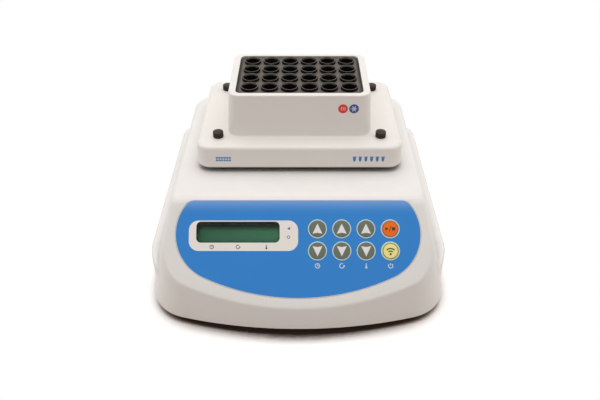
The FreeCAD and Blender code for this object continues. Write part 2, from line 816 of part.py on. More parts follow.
TRAY_SCREWS = (
    ("0 - casing_half_width + 2 * boss_radius", "ledge_drop_start"),
    ("casing_half_width - 2 * boss_radius", "ledge_drop_start"),
    ("0 - casing_half_width + 2 * boss_radius", "shaker_y"),
    ("casing_half_width - 2 * boss_radius", "shaker_y"),
    ("0 - casing_half_width + rear_corner_radius", "casing_half_length - rear_corner_radius"),
    ("casing_half_width - rear_corner_radius", "casing_half_length - rear_corner_radius"),
)
KEY_COLUMNS = 4
KEY_PLACES = [
    (f"(key_x + {column} * key_pitch_x)", f"(key_slope + {row} * key_pitch_slope)")
    for row in range(2) for column in range(KEY_COLUMNS)
]
KEY_BOARD_X = f"(key_x + {(KEY_COLUMNS - 1) / 2} * key_pitch_x)"
KEY_BOARD_SLOPE = "(key_slope + key_pitch_slope / 2)"


def board_corners(x, slope, width, height):
    """Screw places near the four corners of a board behind the panel."""
    inset = "panel_post_inset"
    return [
        (f"({x}) + {i} * (({width}) / 2 - {inset})", f"({slope}) + {j} * (({height}) / 2 - {inset})")
        for i, j in OPENING_CORNERS
    ]


MODULE_CORNERS = board_corners("window_x", "window_slope", "module_width", "module_height")
KEY_BOARD_CORNERS = board_corners(KEY_BOARD_X, KEY_BOARD_SLOPE, "key_board_width", "key_board_height")
BOARD_SCREWS = ((MODULE_CORNERS, BOARD_SEAT), (KEY_BOARD_CORNERS, KEY_BOARD_DEPTH))


def draw_overlay_outline(drawing, gap):
    """Outline of the front label; the sketch's x runs across and its y up the slope from the bend line."""
    half_width, radius = number(f"overlay_half_width + {gap}"), number(f"overlay_side_radius + {gap}")
    bow, corner = number(f"overlay_bow_radius + {gap}"), number("overlay_corner_radius")
    top, bottom = number(f"{gap} - overlay_top"), number(f"0 - overlay_bottom - {gap}")
    side_x = half_width - radius
    bow_y = bottom + bow
    side_y = bow_y - math.sqrt((bow - radius) ** 2 - side_x ** 2)
    corner_y = top - corner
    corner_x = side_x + math.sqrt((radius - corner) ** 2 - (corner_y - side_y) ** 2)
    low = math.degrees(math.atan2(side_y - bow_y, side_x))
    high = math.degrees(math.atan2(corner_y - side_y, corner_x - side_x))
    drawing.addGeometry([
        arc((0, bow_y), bow, 180 - low, 360 + low),
        arc((side_x, side_y), radius, 360 + low, 360 + high),
        arc((corner_x, corner_y), corner, high, 90),
        line((corner_x, top), (-corner_x, top)),
        arc((-corner_x, corner_y), corner, 90, 180 - high),
        arc((-side_x, side_y), radius, 180 - high, 180 - low),
    ])
    close_smoothly(drawing, 6)
    drawing.addConstraint([
        Sketcher.Constraint("Horizontal", 3),
        Sketcher.Constraint("Equal", 1, 5),
        Sketcher.Constraint("Equal", 2, 4),
        Sketcher.Constraint("PointOnObject", 0, 3, -2),
    ])
    dimension(drawing, "Radius", 0, f"overlay_bow_radius + {gap}")
    dimension(drawing, "Radius", 1, f"overlay_side_radius + {gap}")
    dimension(drawing, "Radius", 2, "overlay_corner_radius")
    dimension(drawing, "DistanceY", -1, 1, 3, 1, f"{gap} - overlay_top")
    dimension(drawing, "DistanceY", -1, 1, 0, 3, "overlay_bow_radius - overlay_bottom")
    dimension(drawing, "DistanceX", -1, 1, 1, 3, "overlay_half_width - overlay_side_radius")
    dimension(drawing, "DistanceX", 5, 3, -1, 1, "overlay_half_width - overlay_side_radius")
    return drawing


def rounded_slab(half_width, half_depth, corner, height, x="0", y="0", z="0"):
    """Upright slab with round corners."""
    outline = place(sketch("Slab"), x, y, z)
    draw_rounded_rectangle(outline, half_width, half_depth, corner)
    return extrude(outline, height)


def leaning_slab(half_width, half_height, corner, thickness, x, slope, depth):
    """Slab with round corners on the panel, its outer face at the given depth under it."""
    slab = body("LeaningSlab")
    outline = sketch("Slab", slab)
    draw_rounded_rectangle(outline, half_width, half_height, corner)
    pad(slab, outline, thickness)
    return lean(slab, x, slope, f"0 - ({depth}) - ({thickness})")


def make_top_cover():
    """Upper casing: shell with its openings, recesses, screw bosses and board posts."""
    outer_upper = rounded(upper_body("0"), "deck_rounding", is_deck_outline)
    outer_skirt = rounded(skirt("0"), "ledge_rounding", is_ledge_outline)
    hollow = fuse(upper_body("casing_wall"), skirt("casing_wall"))
    bosses = [cylinder("boss_radius", "casing_height", x, y, TRAY_TOP) for x, y in TRAY_SCREWS]
    post_top = "casing_wall - overrun"
    posts = [
        leaning_cylinder("panel_post_radius", f"{seat} - ({post_top})", x, slope, post_top)
        for corners, seat in BOARD_SCREWS for x, slope in corners
    ]
    backing = box(
        "rear_recess_width + 2 * casing_wall", "2 * (rear_recess_depth + casing_wall)",
        "rear_recess_height + 2 * casing_wall", y="casing_half_length",
        z="foot_height + rear_recess_bottom - casing_wall",
    )
    cavity = cut(hollow, *bosses, *posts, backing)
    openings = [cavity, *deck_cuts(), *panel_cuts(), *rear_cuts()]
    openings += [
        cylinder("case_screw_radius", "case_screw_length + running_gap", x, y, TRAY_BOTTOM)
        for x, y in TRAY_SCREWS
    ]
    openings += [
        leaning_cylinder("panel_shank_radius", "panel_shank_length", x, slope, f"{seat} - panel_shank_length")
        for corners, seat in BOARD_SCREWS for x, slope in corners
    ]
    node("top_cover", cut(fuse(outer_upper, outer_skirt), *openings))


def deck_cuts():
    """Opening in the deck that the platform stands in."""
    return [rounded_slab(
        OPENING_HALF_WIDTH, OPENING_HALF_DEPTH, "deck_opening_corner", "casing_wall + 2 * overrun",
        y="shaker_y", z=f"{DECK} - casing_wall - overrun",
    )]


def panel_cuts():
    """Seat of the front label, display opening and key holes."""
    seat = body("OverlaySeat")
    outline = sketch("OverlaySeat", seat)
    draw_overlay_outline(outline, "overlay_gap")
    pad(seat, outline, "overrun")
    lean(seat, depth="0 - overlay_recess")
    window = leaning_box(
        "module_frame_width - 2 * casing_wall", "module_frame_height - 2 * casing_wall", "2 * overrun",
        "window_x", "window_slope", "0 - overrun",
    )
    return [seat, window, *key_holes()]


def key_holes():
    """Guide holes of the keys, through panel, label and rims."""
    return [
        leaning_cylinder("key_radius + key_gap", "2 * overrun", x, slope, "0 - overrun")
        for x, slope in KEY_PLACES
    ]


def rear_cuts():
    """Recess for power switch and inlet, their holes, and the row of cooling slots."""
    recess = box(
        "rear_recess_width", "2 * rear_recess_depth", "rear_recess_height",
        y="casing_half_length", z="foot_height + rear_recess_bottom",
    )
    switch_hole = box(
        "switch_body_width + 2 * running_gap", "4 * casing_wall", "switch_body_height + 2 * running_gap",
        "rocker_x", REAR_FLOOR, f"{REAR_MIDDLE} - switch_body_height / 2 - running_gap",
    )
    inlet_hole = cylinder(
        "inlet_body_radius + running_gap", "4 * casing_wall",
        "inlet_x", f"{REAR_FLOOR} - 2 * casing_wall", REAR_MIDDLE, TOWARDS_REAR,
    )
    behind = f"casing_half_length + {OPENING_HALF_DEPTH} + shaker_y"
    slots = [
        box(
            "vent_width", "2 * casing_half_length", "vent_height",
            f"({i} - (vent_count - 1) / 2) * vent_pitch", behind, "vent_bottom",
        )
        for i in range(int(number("vent_count")))
    ]
    return [recess, switch_hole, inlet_hole, *slots]


TOWARDS_REAR = Rotation(Vector(1, 0, 0), -90)


def corners_round(x, y, across, deep):
    """The four corners of a rectangle round a point."""
    return [(f"({x}) + {i} * ({across})", f"({y}) + {j} * ({deep})") for i, j in OPENING_CORNERS]


FAN_SCREW_OFFSET = "(fan_size / 2 - fan_screw_inset)"
FAN_SCREW_PLACES = corners_round("fan_x", "fan_y", FAN_SCREW_OFFSET, FAN_SCREW_OFFSET)


def make_base():
    """Base tray with the fan grille, its feet and the screws up into the casing."""
    tray_inset = "(casing_wall + tray_gap)"
    plan = place(sketch("TrayPlan"), z=TRAY_BOTTOM)
    draw_casing_outline(
        plan, f"casing_half_width - {tray_inset}", f"{tray_inset} - casing_half_length",
        f"front_bow_radius - {tray_inset}", f"front_corner_radius - {tray_inset}",
        f"casing_half_length - {tray_inset}", f"rear_corner_radius - {tray_inset}",
    )
    count = int(number("grille_slot_count"))
    slots = []
    for i in range(count):
        offset = f"({i} - (grille_slot_count - 1) / 2) * grille_pitch"
        reach = f"sqrt(fan_duct_radius * fan_duct_radius - ({offset}) * ({offset}))"
        slots.append(box(
            "grille_slot", f"2 * {reach}", "tray_thickness + 2 * overrun",
            f"fan_x + {offset}", "fan_y", f"{TRAY_BOTTOM} - overrun",
        ))
    holes = [
        cylinder("case_screw_radius + running_gap", "2 * overrun", x, y, f"{TRAY_BOTTOM} - overrun")
        for x, y in TRAY_SCREWS
    ]
    holes += [
        cylinder("fan_screw_radius + journal_gap", "2 * overrun", x, y, f"{TRAY_BOTTOM} - overrun")
        for x, y in FAN_SCREW_PLACES
    ]
    node("bottom_plate", cut(extrude(plan, "tray_thickness"), *slots, *holes))
    foot = revolve("Foot", draw_half_profile([
        ("foot_pocket_radius", "0"), ("foot_radius - foot_taper", "0"), ("foot_radius", "foot_taper"),
        ("foot_radius", TRAY_BOTTOM), ("0", TRAY_BOTTOM), ("0", "foot_pocket_depth"),
        ("foot_pocket_radius", "foot_pocket_depth"),
    ]))
    node("rubber_feet", compound([
        copy_of(foot, x, y)
        for y in ("foot_front", "foot_rear") for x in ("0 - foot_across", "foot_across")
    ]))
    head_level = f"{TRAY_BOTTOM} - case_screw_head_height"
    screws = [
        fuse(
            cylinder("case_screw_head_radius", "case_screw_head_height", x, y, head_level),
            cylinder("case_screw_radius - journal_gap", "case_screw_length", x, y, TRAY_BOTTOM),
        )
        for x, y in TRAY_SCREWS
    ]
    node("case_screws", compound(screws))


def copy_of(original, x="0", y="0", z="0"):
    """Another copy of a body in a new place."""
    copy = doc.addObject("App::Link", "Copy")
    copy.LinkedObject = original
    bind(copy, Placement__Base__x=x, Placement__Base__y=y, Placement__Base__z=z)
    return copy


# Panel

def make_panel():
    """Front label with its window, the display and key boards behind it, and the keys."""
    label = body("Label")
    outline = sketch("LabelOutline", label)
    draw_overlay_outline(outline, "0")
    pad(label, outline, "overlay_thickness")
    lean(label, depth="0 - overlay_recess")
    over_label = "(overlay_recess - overlay_thickness)"
    window = leaning_slab(
        "window_width / 2", "window_height / 2", "window_corner", "2 * overrun",
        "window_x", "window_slope", "0 - overrun",
    )
    node("control_overlay", cut(label, window, *key_holes()))
    node("display_window", leaning_slab(
        "window_width / 2 - journal_gap", "window_height / 2 - journal_gap", "window_corner - journal_gap",
        "overlay_thickness", "window_x", "window_slope", over_label,
    ))
    make_display()
    make_keys(over_label)


def make_display():
    """Character display: metal frame, glass and board, screwed to the posts behind the panel."""
    frame = leaning_box(
        "module_frame_width", "module_frame_height", "module_depth", "window_x", "window_slope", "casing_wall"
    )
    view = leaning_box(
        "display_view_width", "display_view_height", "2 * overrun + module_depth", "window_x", "window_slope",
        "casing_wall - overrun",
    )
    node("display_frame", cut(frame, view))
    node("display_glass", leaning_box(
        "display_view_width - 2 * journal_gap", "display_view_height - 2 * journal_gap",
        "display_glass_thickness", "window_x", "window_slope", "casing_wall + display_glass_depth",
    ))
    board = leaning_box(
        "module_width", "module_height", "board_thickness", "window_x", "window_slope", BOARD_SEAT
    )
    node("display_board", cut(board, *panel_screw_holes(MODULE_CORNERS, BOARD_SEAT)))


def panel_screw_holes(corners, seat):
    """Clearance holes of a board's screws."""
    return [
        leaning_cylinder("panel_shank_radius + journal_gap", "2 * overrun", x, slope, f"{seat} - overrun")
        for x, slope in corners
    ]


def make_keys(over_label):
    """Eight keys with their rims, and the board with a switch under each key."""
    board = leaning_box(
        "key_board_width", "key_board_height", "board_thickness",
        KEY_BOARD_X, KEY_BOARD_SLOPE, KEY_BOARD_DEPTH,
    )
    node("control_board", cut(board, *panel_screw_holes(KEY_BOARD_CORNERS, KEY_BOARD_DEPTH)))
    pad_face = f"{KEY_BOARD_DEPTH} - switch_pad_height"
    node("key_switches", compound([
        fuse(
            leaning_box("switch_pad", "switch_pad", "switch_pad_height", x, slope, pad_face),
            leaning_cylinder(
                "switch_button_radius", "switch_button_height", x, slope, f"{pad_face} - switch_button_height"
            ),
        )
        for x, slope in KEY_PLACES
    ]))
    node("panel_screws", compound([
        fuse(
            leaning_cylinder(
                "panel_screw_radius", "panel_screw_height", x, slope, f"{seat} + board_thickness"
            ),
            leaning_cylinder(
                "panel_shank_radius - journal_gap", "panel_shank_length + board_thickness", x, slope,
                f"{seat} - panel_shank_length",
            ),
        )
        for corners, seat in BOARD_SCREWS for x, slope in corners
    ]))
    rim_radius = "key_radius + key_gap + key_rim_width"
    rim_face = f"{over_label} - key_rim_height"
    node("key_rims", compound([
        cut(leaning_cylinder(rim_radius, "key_rim_height", x, slope, rim_face), hole)
        for (x, slope), hole in zip(KEY_PLACES, key_holes())
    ]))
    names = (
        "key_time_up", "key_speed_up", "key_heat_up", "key_start_stop",
        "key_time_down", "key_speed_down", "key_heat_down", "key_wireless",
    )
    for name, (x, slope) in zip(names, KEY_PLACES):
        node(name, make_key(x, slope))


def make_key(x, slope):
    """Round key: a crowned cap that slides in the panel, held by a flange behind it."""
    flange_top = f"0 - {KEY_FLANGE_DEPTH}"
    flange_bottom = f"{flange_top} - key_flange_height"
    face = "overlay_thickness - overlay_recess + key_proud"
    key = revolve("Key", draw_half_profile([
        ("0", flange_bottom), ("key_radius + key_flange", flange_bottom),
        ("key_radius + key_flange", flange_top),
        ("key_radius", flange_top), ("key_radius", face), ("0", f"{face} + key_crown"),
    ]))
    return lean(key, x, slope)


# Rear panel

def make_rear():
    """Power switch with its rocker, and the low-voltage inlet."""
    pivot = f"({REAR_FLOOR} + switch_bezel_depth)"
    shell = fuse(
        box(
            "switch_bezel_width", "switch_bezel_depth", "switch_bezel_height",
            "rocker_x", f"{REAR_FLOOR} + switch_bezel_depth / 2", f"{REAR_MIDDLE} - switch_bezel_height / 2",
        ),
        box(
            "switch_body_width", "switch_body_depth", "switch_body_height",
            "rocker_x", f"{REAR_FLOOR} - switch_body_depth / 2", f"{REAR_MIDDLE} - switch_body_height / 2",
        ),
    )
    well = cylinder(
        "rocker_radius + running_gap", "rocker_height + 2 * running_gap",
        "rocker_x", pivot, f"{REAR_MIDDLE} - rocker_height / 2 - running_gap",
    )
    node("switch_housing", cut(shell, well))
    drum = cylinder("rocker_radius", "rocker_height", "rocker_x", pivot, f"{REAR_MIDDLE} - rocker_height / 2")
    through, below = "rocker_height + 2 * overrun", f"{REAR_MIDDLE} - rocker_height / 2 - overrun"
    flat_side = box(
        "2 * rocker_radius", "2 * rocker_radius", through,
        "rocker_x + rocker_radius", f"{pivot} + rocker_radius", below,
    )
    raised_side = doc.addObject("Part::Box", "RaisedSide")
    bind(raised_side, Length="2 * rocker_radius", Width="2 * rocker_radius", Height=through)
    raised_side.Placement = Placement(Vector(), Rotation(Vector(0, 0, 1), -number("rocker_throw")))
    bind(
        raised_side,
        Placement__Base__x="rocker_x - 2 * rocker_radius * cos(rocker_throw)",
        Placement__Base__y=f"{pivot} + 2 * rocker_radius * sin(rocker_throw)",
        Placement__Base__z=below,
    )
    node("switch_rocker", cut(drum, flat_side, raised_side))
    socket = fuse(
        cylinder(
            "inlet_flange_radius", "inlet_flange_depth", "inlet_x", REAR_FLOOR, REAR_MIDDLE, TOWARDS_REAR
        ),
        cylinder(
            "inlet_body_radius", "inlet_body_depth",
            "inlet_x", f"{REAR_FLOOR} - inlet_body_depth", REAR_MIDDLE, TOWARDS_REAR,
        ),
    )
    bore_floor = f"({REAR_FLOOR} + inlet_flange_depth - inlet_bore_depth)"
    bore = cylinder(
        "inlet_bore_radius", "inlet_bore_depth + overrun", "inlet_x", bore_floor, REAR_MIDDLE, TOWARDS_REAR
    )
    node("dc_inlet", cut(socket, bore))
    node("dc_inlet_pin", cylinder(
        "inlet_pin_radius", "inlet_bore_depth - inlet_flange_depth",
        "inlet_x", bore_floor, REAR_MIDDLE, TOWARDS_REAR,
    ))


# Electronics and fan on the base tray

# Place and size of each component as shares of the board's width and depth: x, y, width, depth, height
CHIP_SHARES = (
    (-0.30, 0.22, 0.12, 0.21, 0.02),
    (0.02, -0.20, 0.10, 0.18, 0.02),
    (0.30, 0.26, 0.12, 0.21, 0.09),
    (0.10, 0.26, 0.07, 0.12, 0.16),
    (0.32, -0.30, 0.20, 0.16, 0.11),
    (-0.05, 0.36, 0.16, 0.10, 0.08),
)
# Place, radius and height of each capacitor as shares of the same
CAPACITOR_SHARES = ((-0.32, -0.24, 0.05, 0.15), (-0.20, -0.24, 0.05, 0.15), (0.17, -0.28, 0.04, 0.12))


def make_electronics():
    """Main board on its standoffs, with its larger components."""
    board_level = f"({TRAY_TOP} + standoff_height)"
    node("main_board", box(
        "main_board_width", "main_board_depth", "board_thickness", "main_board_x", "main_board_y", board_level
    ))
    places = corners_round(
        "main_board_x", "main_board_y",
        "main_board_width / 2 - standoff_inset", "main_board_depth / 2 - standoff_inset",
    )
    node("board_standoffs", compound([
        cylinder("standoff_radius", "standoff_height", x, y, TRAY_TOP) for x, y in places
    ]))
    face = f"{board_level} + board_thickness"
    width = "main_board_width"
    chips = [
        box(
            f"{w} * {width}", f"{d} * main_board_depth", f"{tall} * {width}",
            f"main_board_x + {x} * {width}", f"main_board_y + {y} * main_board_depth", face,
        )
        for x, y, w, d, tall in CHIP_SHARES
    ]
    capacitors = [
        cylinder(
            f"{radius} * {width}", f"{tall} * {width}",
            f"main_board_x + {x} * {width}", f"main_board_y + {y} * main_board_depth", face,
        )
        for x, y, radius, tall in CAPACITOR_SHARES
    ]
    node("board_components", compound(chips + capacitors))


def make_fan():
    """Axial fan that lies over the grille of the base tray."""
    slab = rounded_slab(
        "fan_size / 2", "fan_size / 2", "fan_screw_inset", "fan_depth", "fan_x", "fan_y", TRAY_TOP
    )
    duct = cylinder("fan_duct_radius", "fan_depth + 2 * overrun", "fan_x", "fan_y", f"{TRAY_TOP} - overrun")
    holes = [
        cylinder("fan_screw_radius + journal_gap", "fan_depth + 2 * overrun", x, y, f"{TRAY_TOP} - overrun")
        for x, y in FAN_SCREW_PLACES
    ]
    hub = cylinder("fan_hub_radius", "fan_hub_plate", "fan_x", "fan_y", TRAY_TOP)
    arms = [
        box("fan_size - 2 * fan_blade_thickness", "grille_slot", "fan_hub_plate", "fan_x", "fan_y", TRAY_TOP),
        box("grille_slot", "fan_size - 2 * fan_blade_thickness", "fan_hub_plate", "fan_x", "fan_y", TRAY_TOP),
    ]
    node("fan_frame", fuse(cut(slab, duct, *holes), hub, *arms))
    rotor_level = f"({TRAY_TOP} + fan_hub_plate + running_gap)"
    rotor_height = "(fan_depth - fan_hub_plate - 2 * running_gap)"
    count = int(number("fan_blade_count"))
    blades = []
    for i in range(count):
        blade = doc.addObject("Part::Box", "Blade")
        bind(blade, Length="fan_duct_radius", Width="fan_blade_thickness", Height="2 * fan_depth")
        turn = Rotation(Vector(0, 0, 1), i * 360 / count)
        tilt = Rotation(Vector(1, 0, 0), number("fan_blade_tilt"))
        centre = Vector(number("fan_x"), number("fan_y"), number(f"{rotor_level} + {rotor_height} / 2"))
        half = Vector(0, -number("fan_blade_thickness") / 2, -number("fan_depth"))
        middle = turn.multVec(tilt.multVec(half))
        blade.Placement = Placement(centre + middle, turn.multiply(tilt))
        blades.append(blade)
    hub_cap = cylinder("fan_hub_radius", rotor_height, "fan_x", "fan_y", rotor_level)
    sweep = cylinder("fan_duct_radius - fan_blade_gap", rotor_height, "fan_x", "fan_y", rotor_level)
    node("fan_rotor", common(fuse(hub_cap, *blades), sweep))
    node("fan_screws", compound([
        fuse(
            cylinder("fan_screw_head_radius", "case_screw_head_height", x, y, f"{TRAY_TOP} + fan_depth"),
            cylinder("fan_screw_radius", "fan_depth + tray_thickness", x, y, TRAY_BOTTOM),
        )
        for x, y in FAN_SCREW_PLACES
    ]))


# Shaker drive

IDLER_PLACES = corners_round("0", "shaker_y", "idler_across", "idler_deep")


def make_bearings(places, level):
    """Ball bearings with shallow grooves beside their shields."""
    middle = "(journal_radius + bearing_radius) / 2"
    bearing = revolve("Bearing", draw_half_profile([
        ("journal_radius", "0"), (f"{middle} - bearing_groove", "0"),
        (f"{middle} - bearing_groove", "bearing_groove"), (f"{middle} + bearing_groove", "bearing_groove"),
        (f"{middle} + bearing_groove", "0"), ("bearing_radius", "0"),
        ("bearing_radius", "bearing_width"), ("journal_radius", "bearing_width"),
    ]))
    return compound([copy_of(bearing, x, y, level) for x, y in places])


def make_drive():
    """Chassis, motor, its crank with the counterweight, and four idler cranks."""
    plate = rounded_slab(
        "chassis_half_width", "chassis_half_depth", "chassis_corner", "chassis_thickness",
        y="shaker_y", z="chassis_level",
    )
    deep = "chassis_thickness + 2 * overrun"
    low = "chassis_level - overrun"
    holes = [cylinder("bearing_radius + journal_gap", deep, x, y, low) for x, y in IDLER_PLACES]
    holes.append(cylinder("motor_boss_radius + journal_gap", deep, "0", "shaker_y", low))
    screw_places = corners_round(
        "0", "shaker_y", "motor_screw_circle * cos(45)", "motor_screw_circle * sin(45)"
    )
    holes += [cylinder("case_screw_radius", deep, x, y, low) for x, y in screw_places]
    node("chassis_plate", cut(plate, *holes))
    posts = corners_round("0", "shaker_y", "chassis_post_across", CHASSIS_POST_DEEP)
    node("chassis_posts", compound([
        cylinder("chassis_post_radius", f"chassis_level - {TRAY_TOP}", x, y, TRAY_TOP) for x, y in posts
    ]))
    shaft_foot = "(crank_level - shaft_depth)"
    motor = fuse(
        cone("motor_radius - motor_screw_height", "motor_radius", "motor_screw_height", "0", "shaker_y",
             "chassis_level - motor_height"),
        cylinder("motor_radius", "motor_height - motor_screw_height", "0", "shaker_y",
                 "chassis_level - motor_height + motor_screw_height"),
        cylinder("motor_boss_radius", "chassis_thickness", "0", "shaker_y", "chassis_level"),
    )
    bores = [
        cylinder("case_screw_radius", "overrun + running_gap", x, y, "chassis_level - overrun - running_gap")
        for x, y in screw_places
    ]
    bores.append(cylinder(
        "shaft_radius + journal_gap", "shaft_depth + overrun", "0", "shaker_y", f"{shaft_foot} - running_gap"
    ))
    node("motor_body", cut(motor, *bores))
    node("motor_screws", compound([
        fuse(
            cylinder("motor_screw_radius", "motor_screw_height", x, y, CHASSIS_TOP),
            cylinder(
                "case_screw_radius - journal_gap", "chassis_thickness + overrun",
                x, y, "chassis_level - overrun",
            ),
        )
        for x, y in screw_places
    ]))
    disc_top = "(crank_level + crank_disc_height)"
    node("drive_crank", fuse(
        cylinder("shaft_radius", "shaft_depth", "0", "shaker_y", shaft_foot),
        cylinder("crank_disc_radius", "crank_disc_height", "0", "shaker_y", "crank_level"),
        cylinder(
            "journal_radius - journal_gap", f"frame_level + bearing_width - {disc_top}",
            "orbit_radius", "shaker_y", disc_top,
        ),
    ))
    weight = cylinder(
        "counterweight_radius", "crank_disc_height", "0", "shaker_y", "crank_level", Rotation(90, 0, 0)
    )
    weight.Angle = HALF_TURN
    hub = cylinder(
        "crank_disc_radius + journal_gap", "crank_disc_height + 2 * overrun",
        "0", "shaker_y", "crank_level - overrun",
    )
    node("counterweight", cut(weight, hub))
    node("lower_bearings", make_bearings(IDLER_PLACES, "chassis_level"))
    for i, (x, y) in enumerate(IDLER_PLACES, 1):
        node(f"idler_crank_{i}", make_idler(x, y))


def make_idler(x, y):
    """Idler crank: two journals, out of line by the orbit radius, on one disc."""
    disc_top = "(crank_level + idler_disc_height)"
    shoulder_top = "(frame_level - running_gap)"
    aside = f"{x} + orbit_radius"
    return fuse(
        cylinder("journal_radius - journal_gap", "crank_level - chassis_level", x, y, "chassis_level"),
        cylinder("idler_disc_radius", "idler_disc_height", x, y, "crank_level"),
        cylinder("idler_shoulder_radius", f"{shoulder_top} - {disc_top}", aside, y, disc_top),
        cylinder("journal_radius - journal_gap", "bearing_width + running_gap", aside, y, shoulder_top),
    )


# Platform

UPPER_BEARING_PLACES = [("orbit_radius", "shaker_y")]
UPPER_BEARING_PLACES += [(f"{x} + orbit_radius", y) for x, y in IDLER_PLACES]
CLAMP_PLACES = corners_round("orbit_radius", "shaker_y", "clamp_across", "clamp_deep")


def make_platform():
    """What orbits: frame with its bearings, heat sink, heating and cooling modules, and top plate."""
    frame = rounded_slab(
        "frame_half_width", "frame_half_depth", "chassis_corner", "frame_thickness",
        "orbit_radius", "shaker_y", "frame_level",
    )
    deep = "frame_thickness + 2 * overrun"
    holes = [
        cylinder("bearing_radius + journal_gap", deep, x, y, "frame_level - overrun")
        for x, y in UPPER_BEARING_PLACES
    ]
    node("platform_frame", cut(frame, *holes))
    node("upper_bearings", make_bearings(UPPER_BEARING_PLACES, "frame_level"))
    node("heat_sink", make_heat_sink())
    sides = (-1, 1)
    node("peltier_modules", compound([
        box(
            "peltier_size", "peltier_size", "peltier_thickness",
            f"orbit_radius + {side} * peltier_across", "shaker_y", PELTIER_BOTTOM,
        )
        for side in sides
    ]))
    window = "(peltier_size + 2 * running_gap)"
    windows = [
        box(
            window, window, "peltier_thickness + 2 * overrun",
            f"orbit_radius + {side} * peltier_across", "shaker_y", f"{PELTIER_BOTTOM} - overrun",
        )
        for side in sides
    ]
    sensor_hole = cylinder(
        "sensor_radius + journal_gap", "peltier_thickness + 2 * overrun", "orbit_radius", "shaker_y",
        f"{PELTIER_BOTTOM} - overrun",
    )
    pad_slab = box(
        "2 * sink_half_width", "2 * sink_half_depth", "peltier_thickness",
        "orbit_radius", "shaker_y", PELTIER_BOTTOM,
    )
    node("insulation_pad", cut(pad_slab, *windows, sensor_hole))
    node("temperature_sensor", cylinder(
        "sensor_radius", "sensor_length", "orbit_radius", "shaker_y", f"{PLATE_BOTTOM} - sensor_length"
    ))
    posts = corners_round("orbit_radius", "shaker_y", "platform_post_across", "platform_post_deep")
    node("platform_posts", compound([
        cylinder("platform_post_radius", f"{PLATE_BOTTOM} - {FRAME_TOP}", x, y, FRAME_TOP) for x, y in posts
    ]))
    plate = rounded_slab(
        "platform_half_width", "platform_half_depth", "platform_corner", "platform_thickness",
        "orbit_radius", "shaker_y", PLATE_BOTTOM,
    )
    through = "platform_thickness + 2 * overrun"
    threads = [
        cylinder("clamp_shank_radius + journal_gap", through, x, y, f"{PLATE_BOTTOM} - overrun")
        for x, y in CLAMP_PLACES
    ]
    node("platform_plate", cut(plate, *threads))


def draw_rectangle(drawing, half_width, half_depth, left=None):
    """Upright rectangle, centred on the sketch's origin or with its left side at the given x."""
    w, d = number(half_width), number(half_depth)
    start = -w if left is None else number(left)
    end = start + 2 * w
    corners = [(start, -d), (end, -d), (end, d), (start, d)]
    drawing.addGeometry([line(corners[i], corners[(i + 1) % 4]) for i in range(4)])
    for i in range(4):
        drawing.addConstraint(Sketcher.Constraint("Coincident", i, 2, (i + 1) % 4, 1))
        drawing.addConstraint(Sketcher.Constraint("Vertical" if i % 2 else "Horizontal", i))
    dimension(drawing, "DistanceX", 0, 1, 0, 2, f"2 * ({half_width})")
    dimension(drawing, "DistanceY", 1, 1, 1, 2, f"2 * ({half_depth})")
    dimension(drawing, "DistanceX", -1, 1, 0, 1, left or f"0 - ({half_width})")
    dimension(drawing, "DistanceY", -1, 1, 0, 1, f"0 - ({half_depth})")
    return drawing


def make_heat_sink():
    """Finned heat sink, fins down: one fin repeated across the base."""
    sink = body("HeatSink")
    base = sketch("Base", sink, z=SINK_BASE_BOTTOM)
    draw_rectangle(base, "sink_half_width", "sink_half_depth")
    pad(sink, base, "sink_base")
    fin = sketch("Fin", sink, z=FRAME_TOP)
    draw_rectangle(fin, "fin_thickness / 2", "sink_half_depth", "0 - sink_half_width")
    first = pad(sink, fin, f"{SINK_BASE_BOTTOM} - {FRAME_TOP}")
    fins = sink.newObject("PartDesign::LinearPattern", "Fins")
    fins.Originals = [first]
    fins.Direction = (base, ["H_Axis"])
    bind(fins, Length="2 * sink_half_width - fin_thickness", Occurrences="fin_count")
    sink.Tip = fins
    return place(sink, "orbit_radius", "shaker_y")


# Block

def make_block():
    """Exchangeable block: insulating housing, lip plate, tube block and the four clamp screws."""
    plate = rounded_slab(
        "flange_half_width - lip_setback", "flange_half_depth - lip_setback", "flange_corner - lip_setback",
        "lip_thickness", "orbit_radius", "shaker_y", FLANGE_BOTTOM,
    )
    mouth = rounded_slab(
        f"{FOOT_HALF_WIDTH} + block_side_gap", f"{FOOT_HALF_DEPTH} + block_side_gap", "block_corner",
        "lip_thickness + 2 * overrun", "orbit_radius", "shaker_y", f"{FLANGE_BOTTOM} - overrun",
    )
    through = "lip_thickness + 2 * overrun"
    holes = [
        cylinder("clamp_shank_radius + running_gap", through, x, y, f"{FLANGE_BOTTOM} - overrun")
        for x, y in CLAMP_PLACES
    ]
    node("block_base_plate", cut(plate, mouth, *holes))
    node("block_housing", make_block_housing())
    node("tube_block", make_tube_block())
    node("clamp_screws", compound([make_clamp_screw(x, y) for x, y in CLAMP_PLACES]))


OPENING_HALF = ("(box_half_width - box_wall_side)", "(box_half_depth - box_wall_front)")
BODY_HALF = (f"({OPENING_HALF[0]} - block_side_gap)", f"({OPENING_HALF[1]} - block_side_gap)")
FOOT_HALF_WIDTH = f"({BODY_HALF[0]} + block_foot_width)"
FOOT_HALF_DEPTH = f"({BODY_HALF[1]} + block_foot_width)"
BOX_SPREAD = "(box_height * tan(housing_draft))"


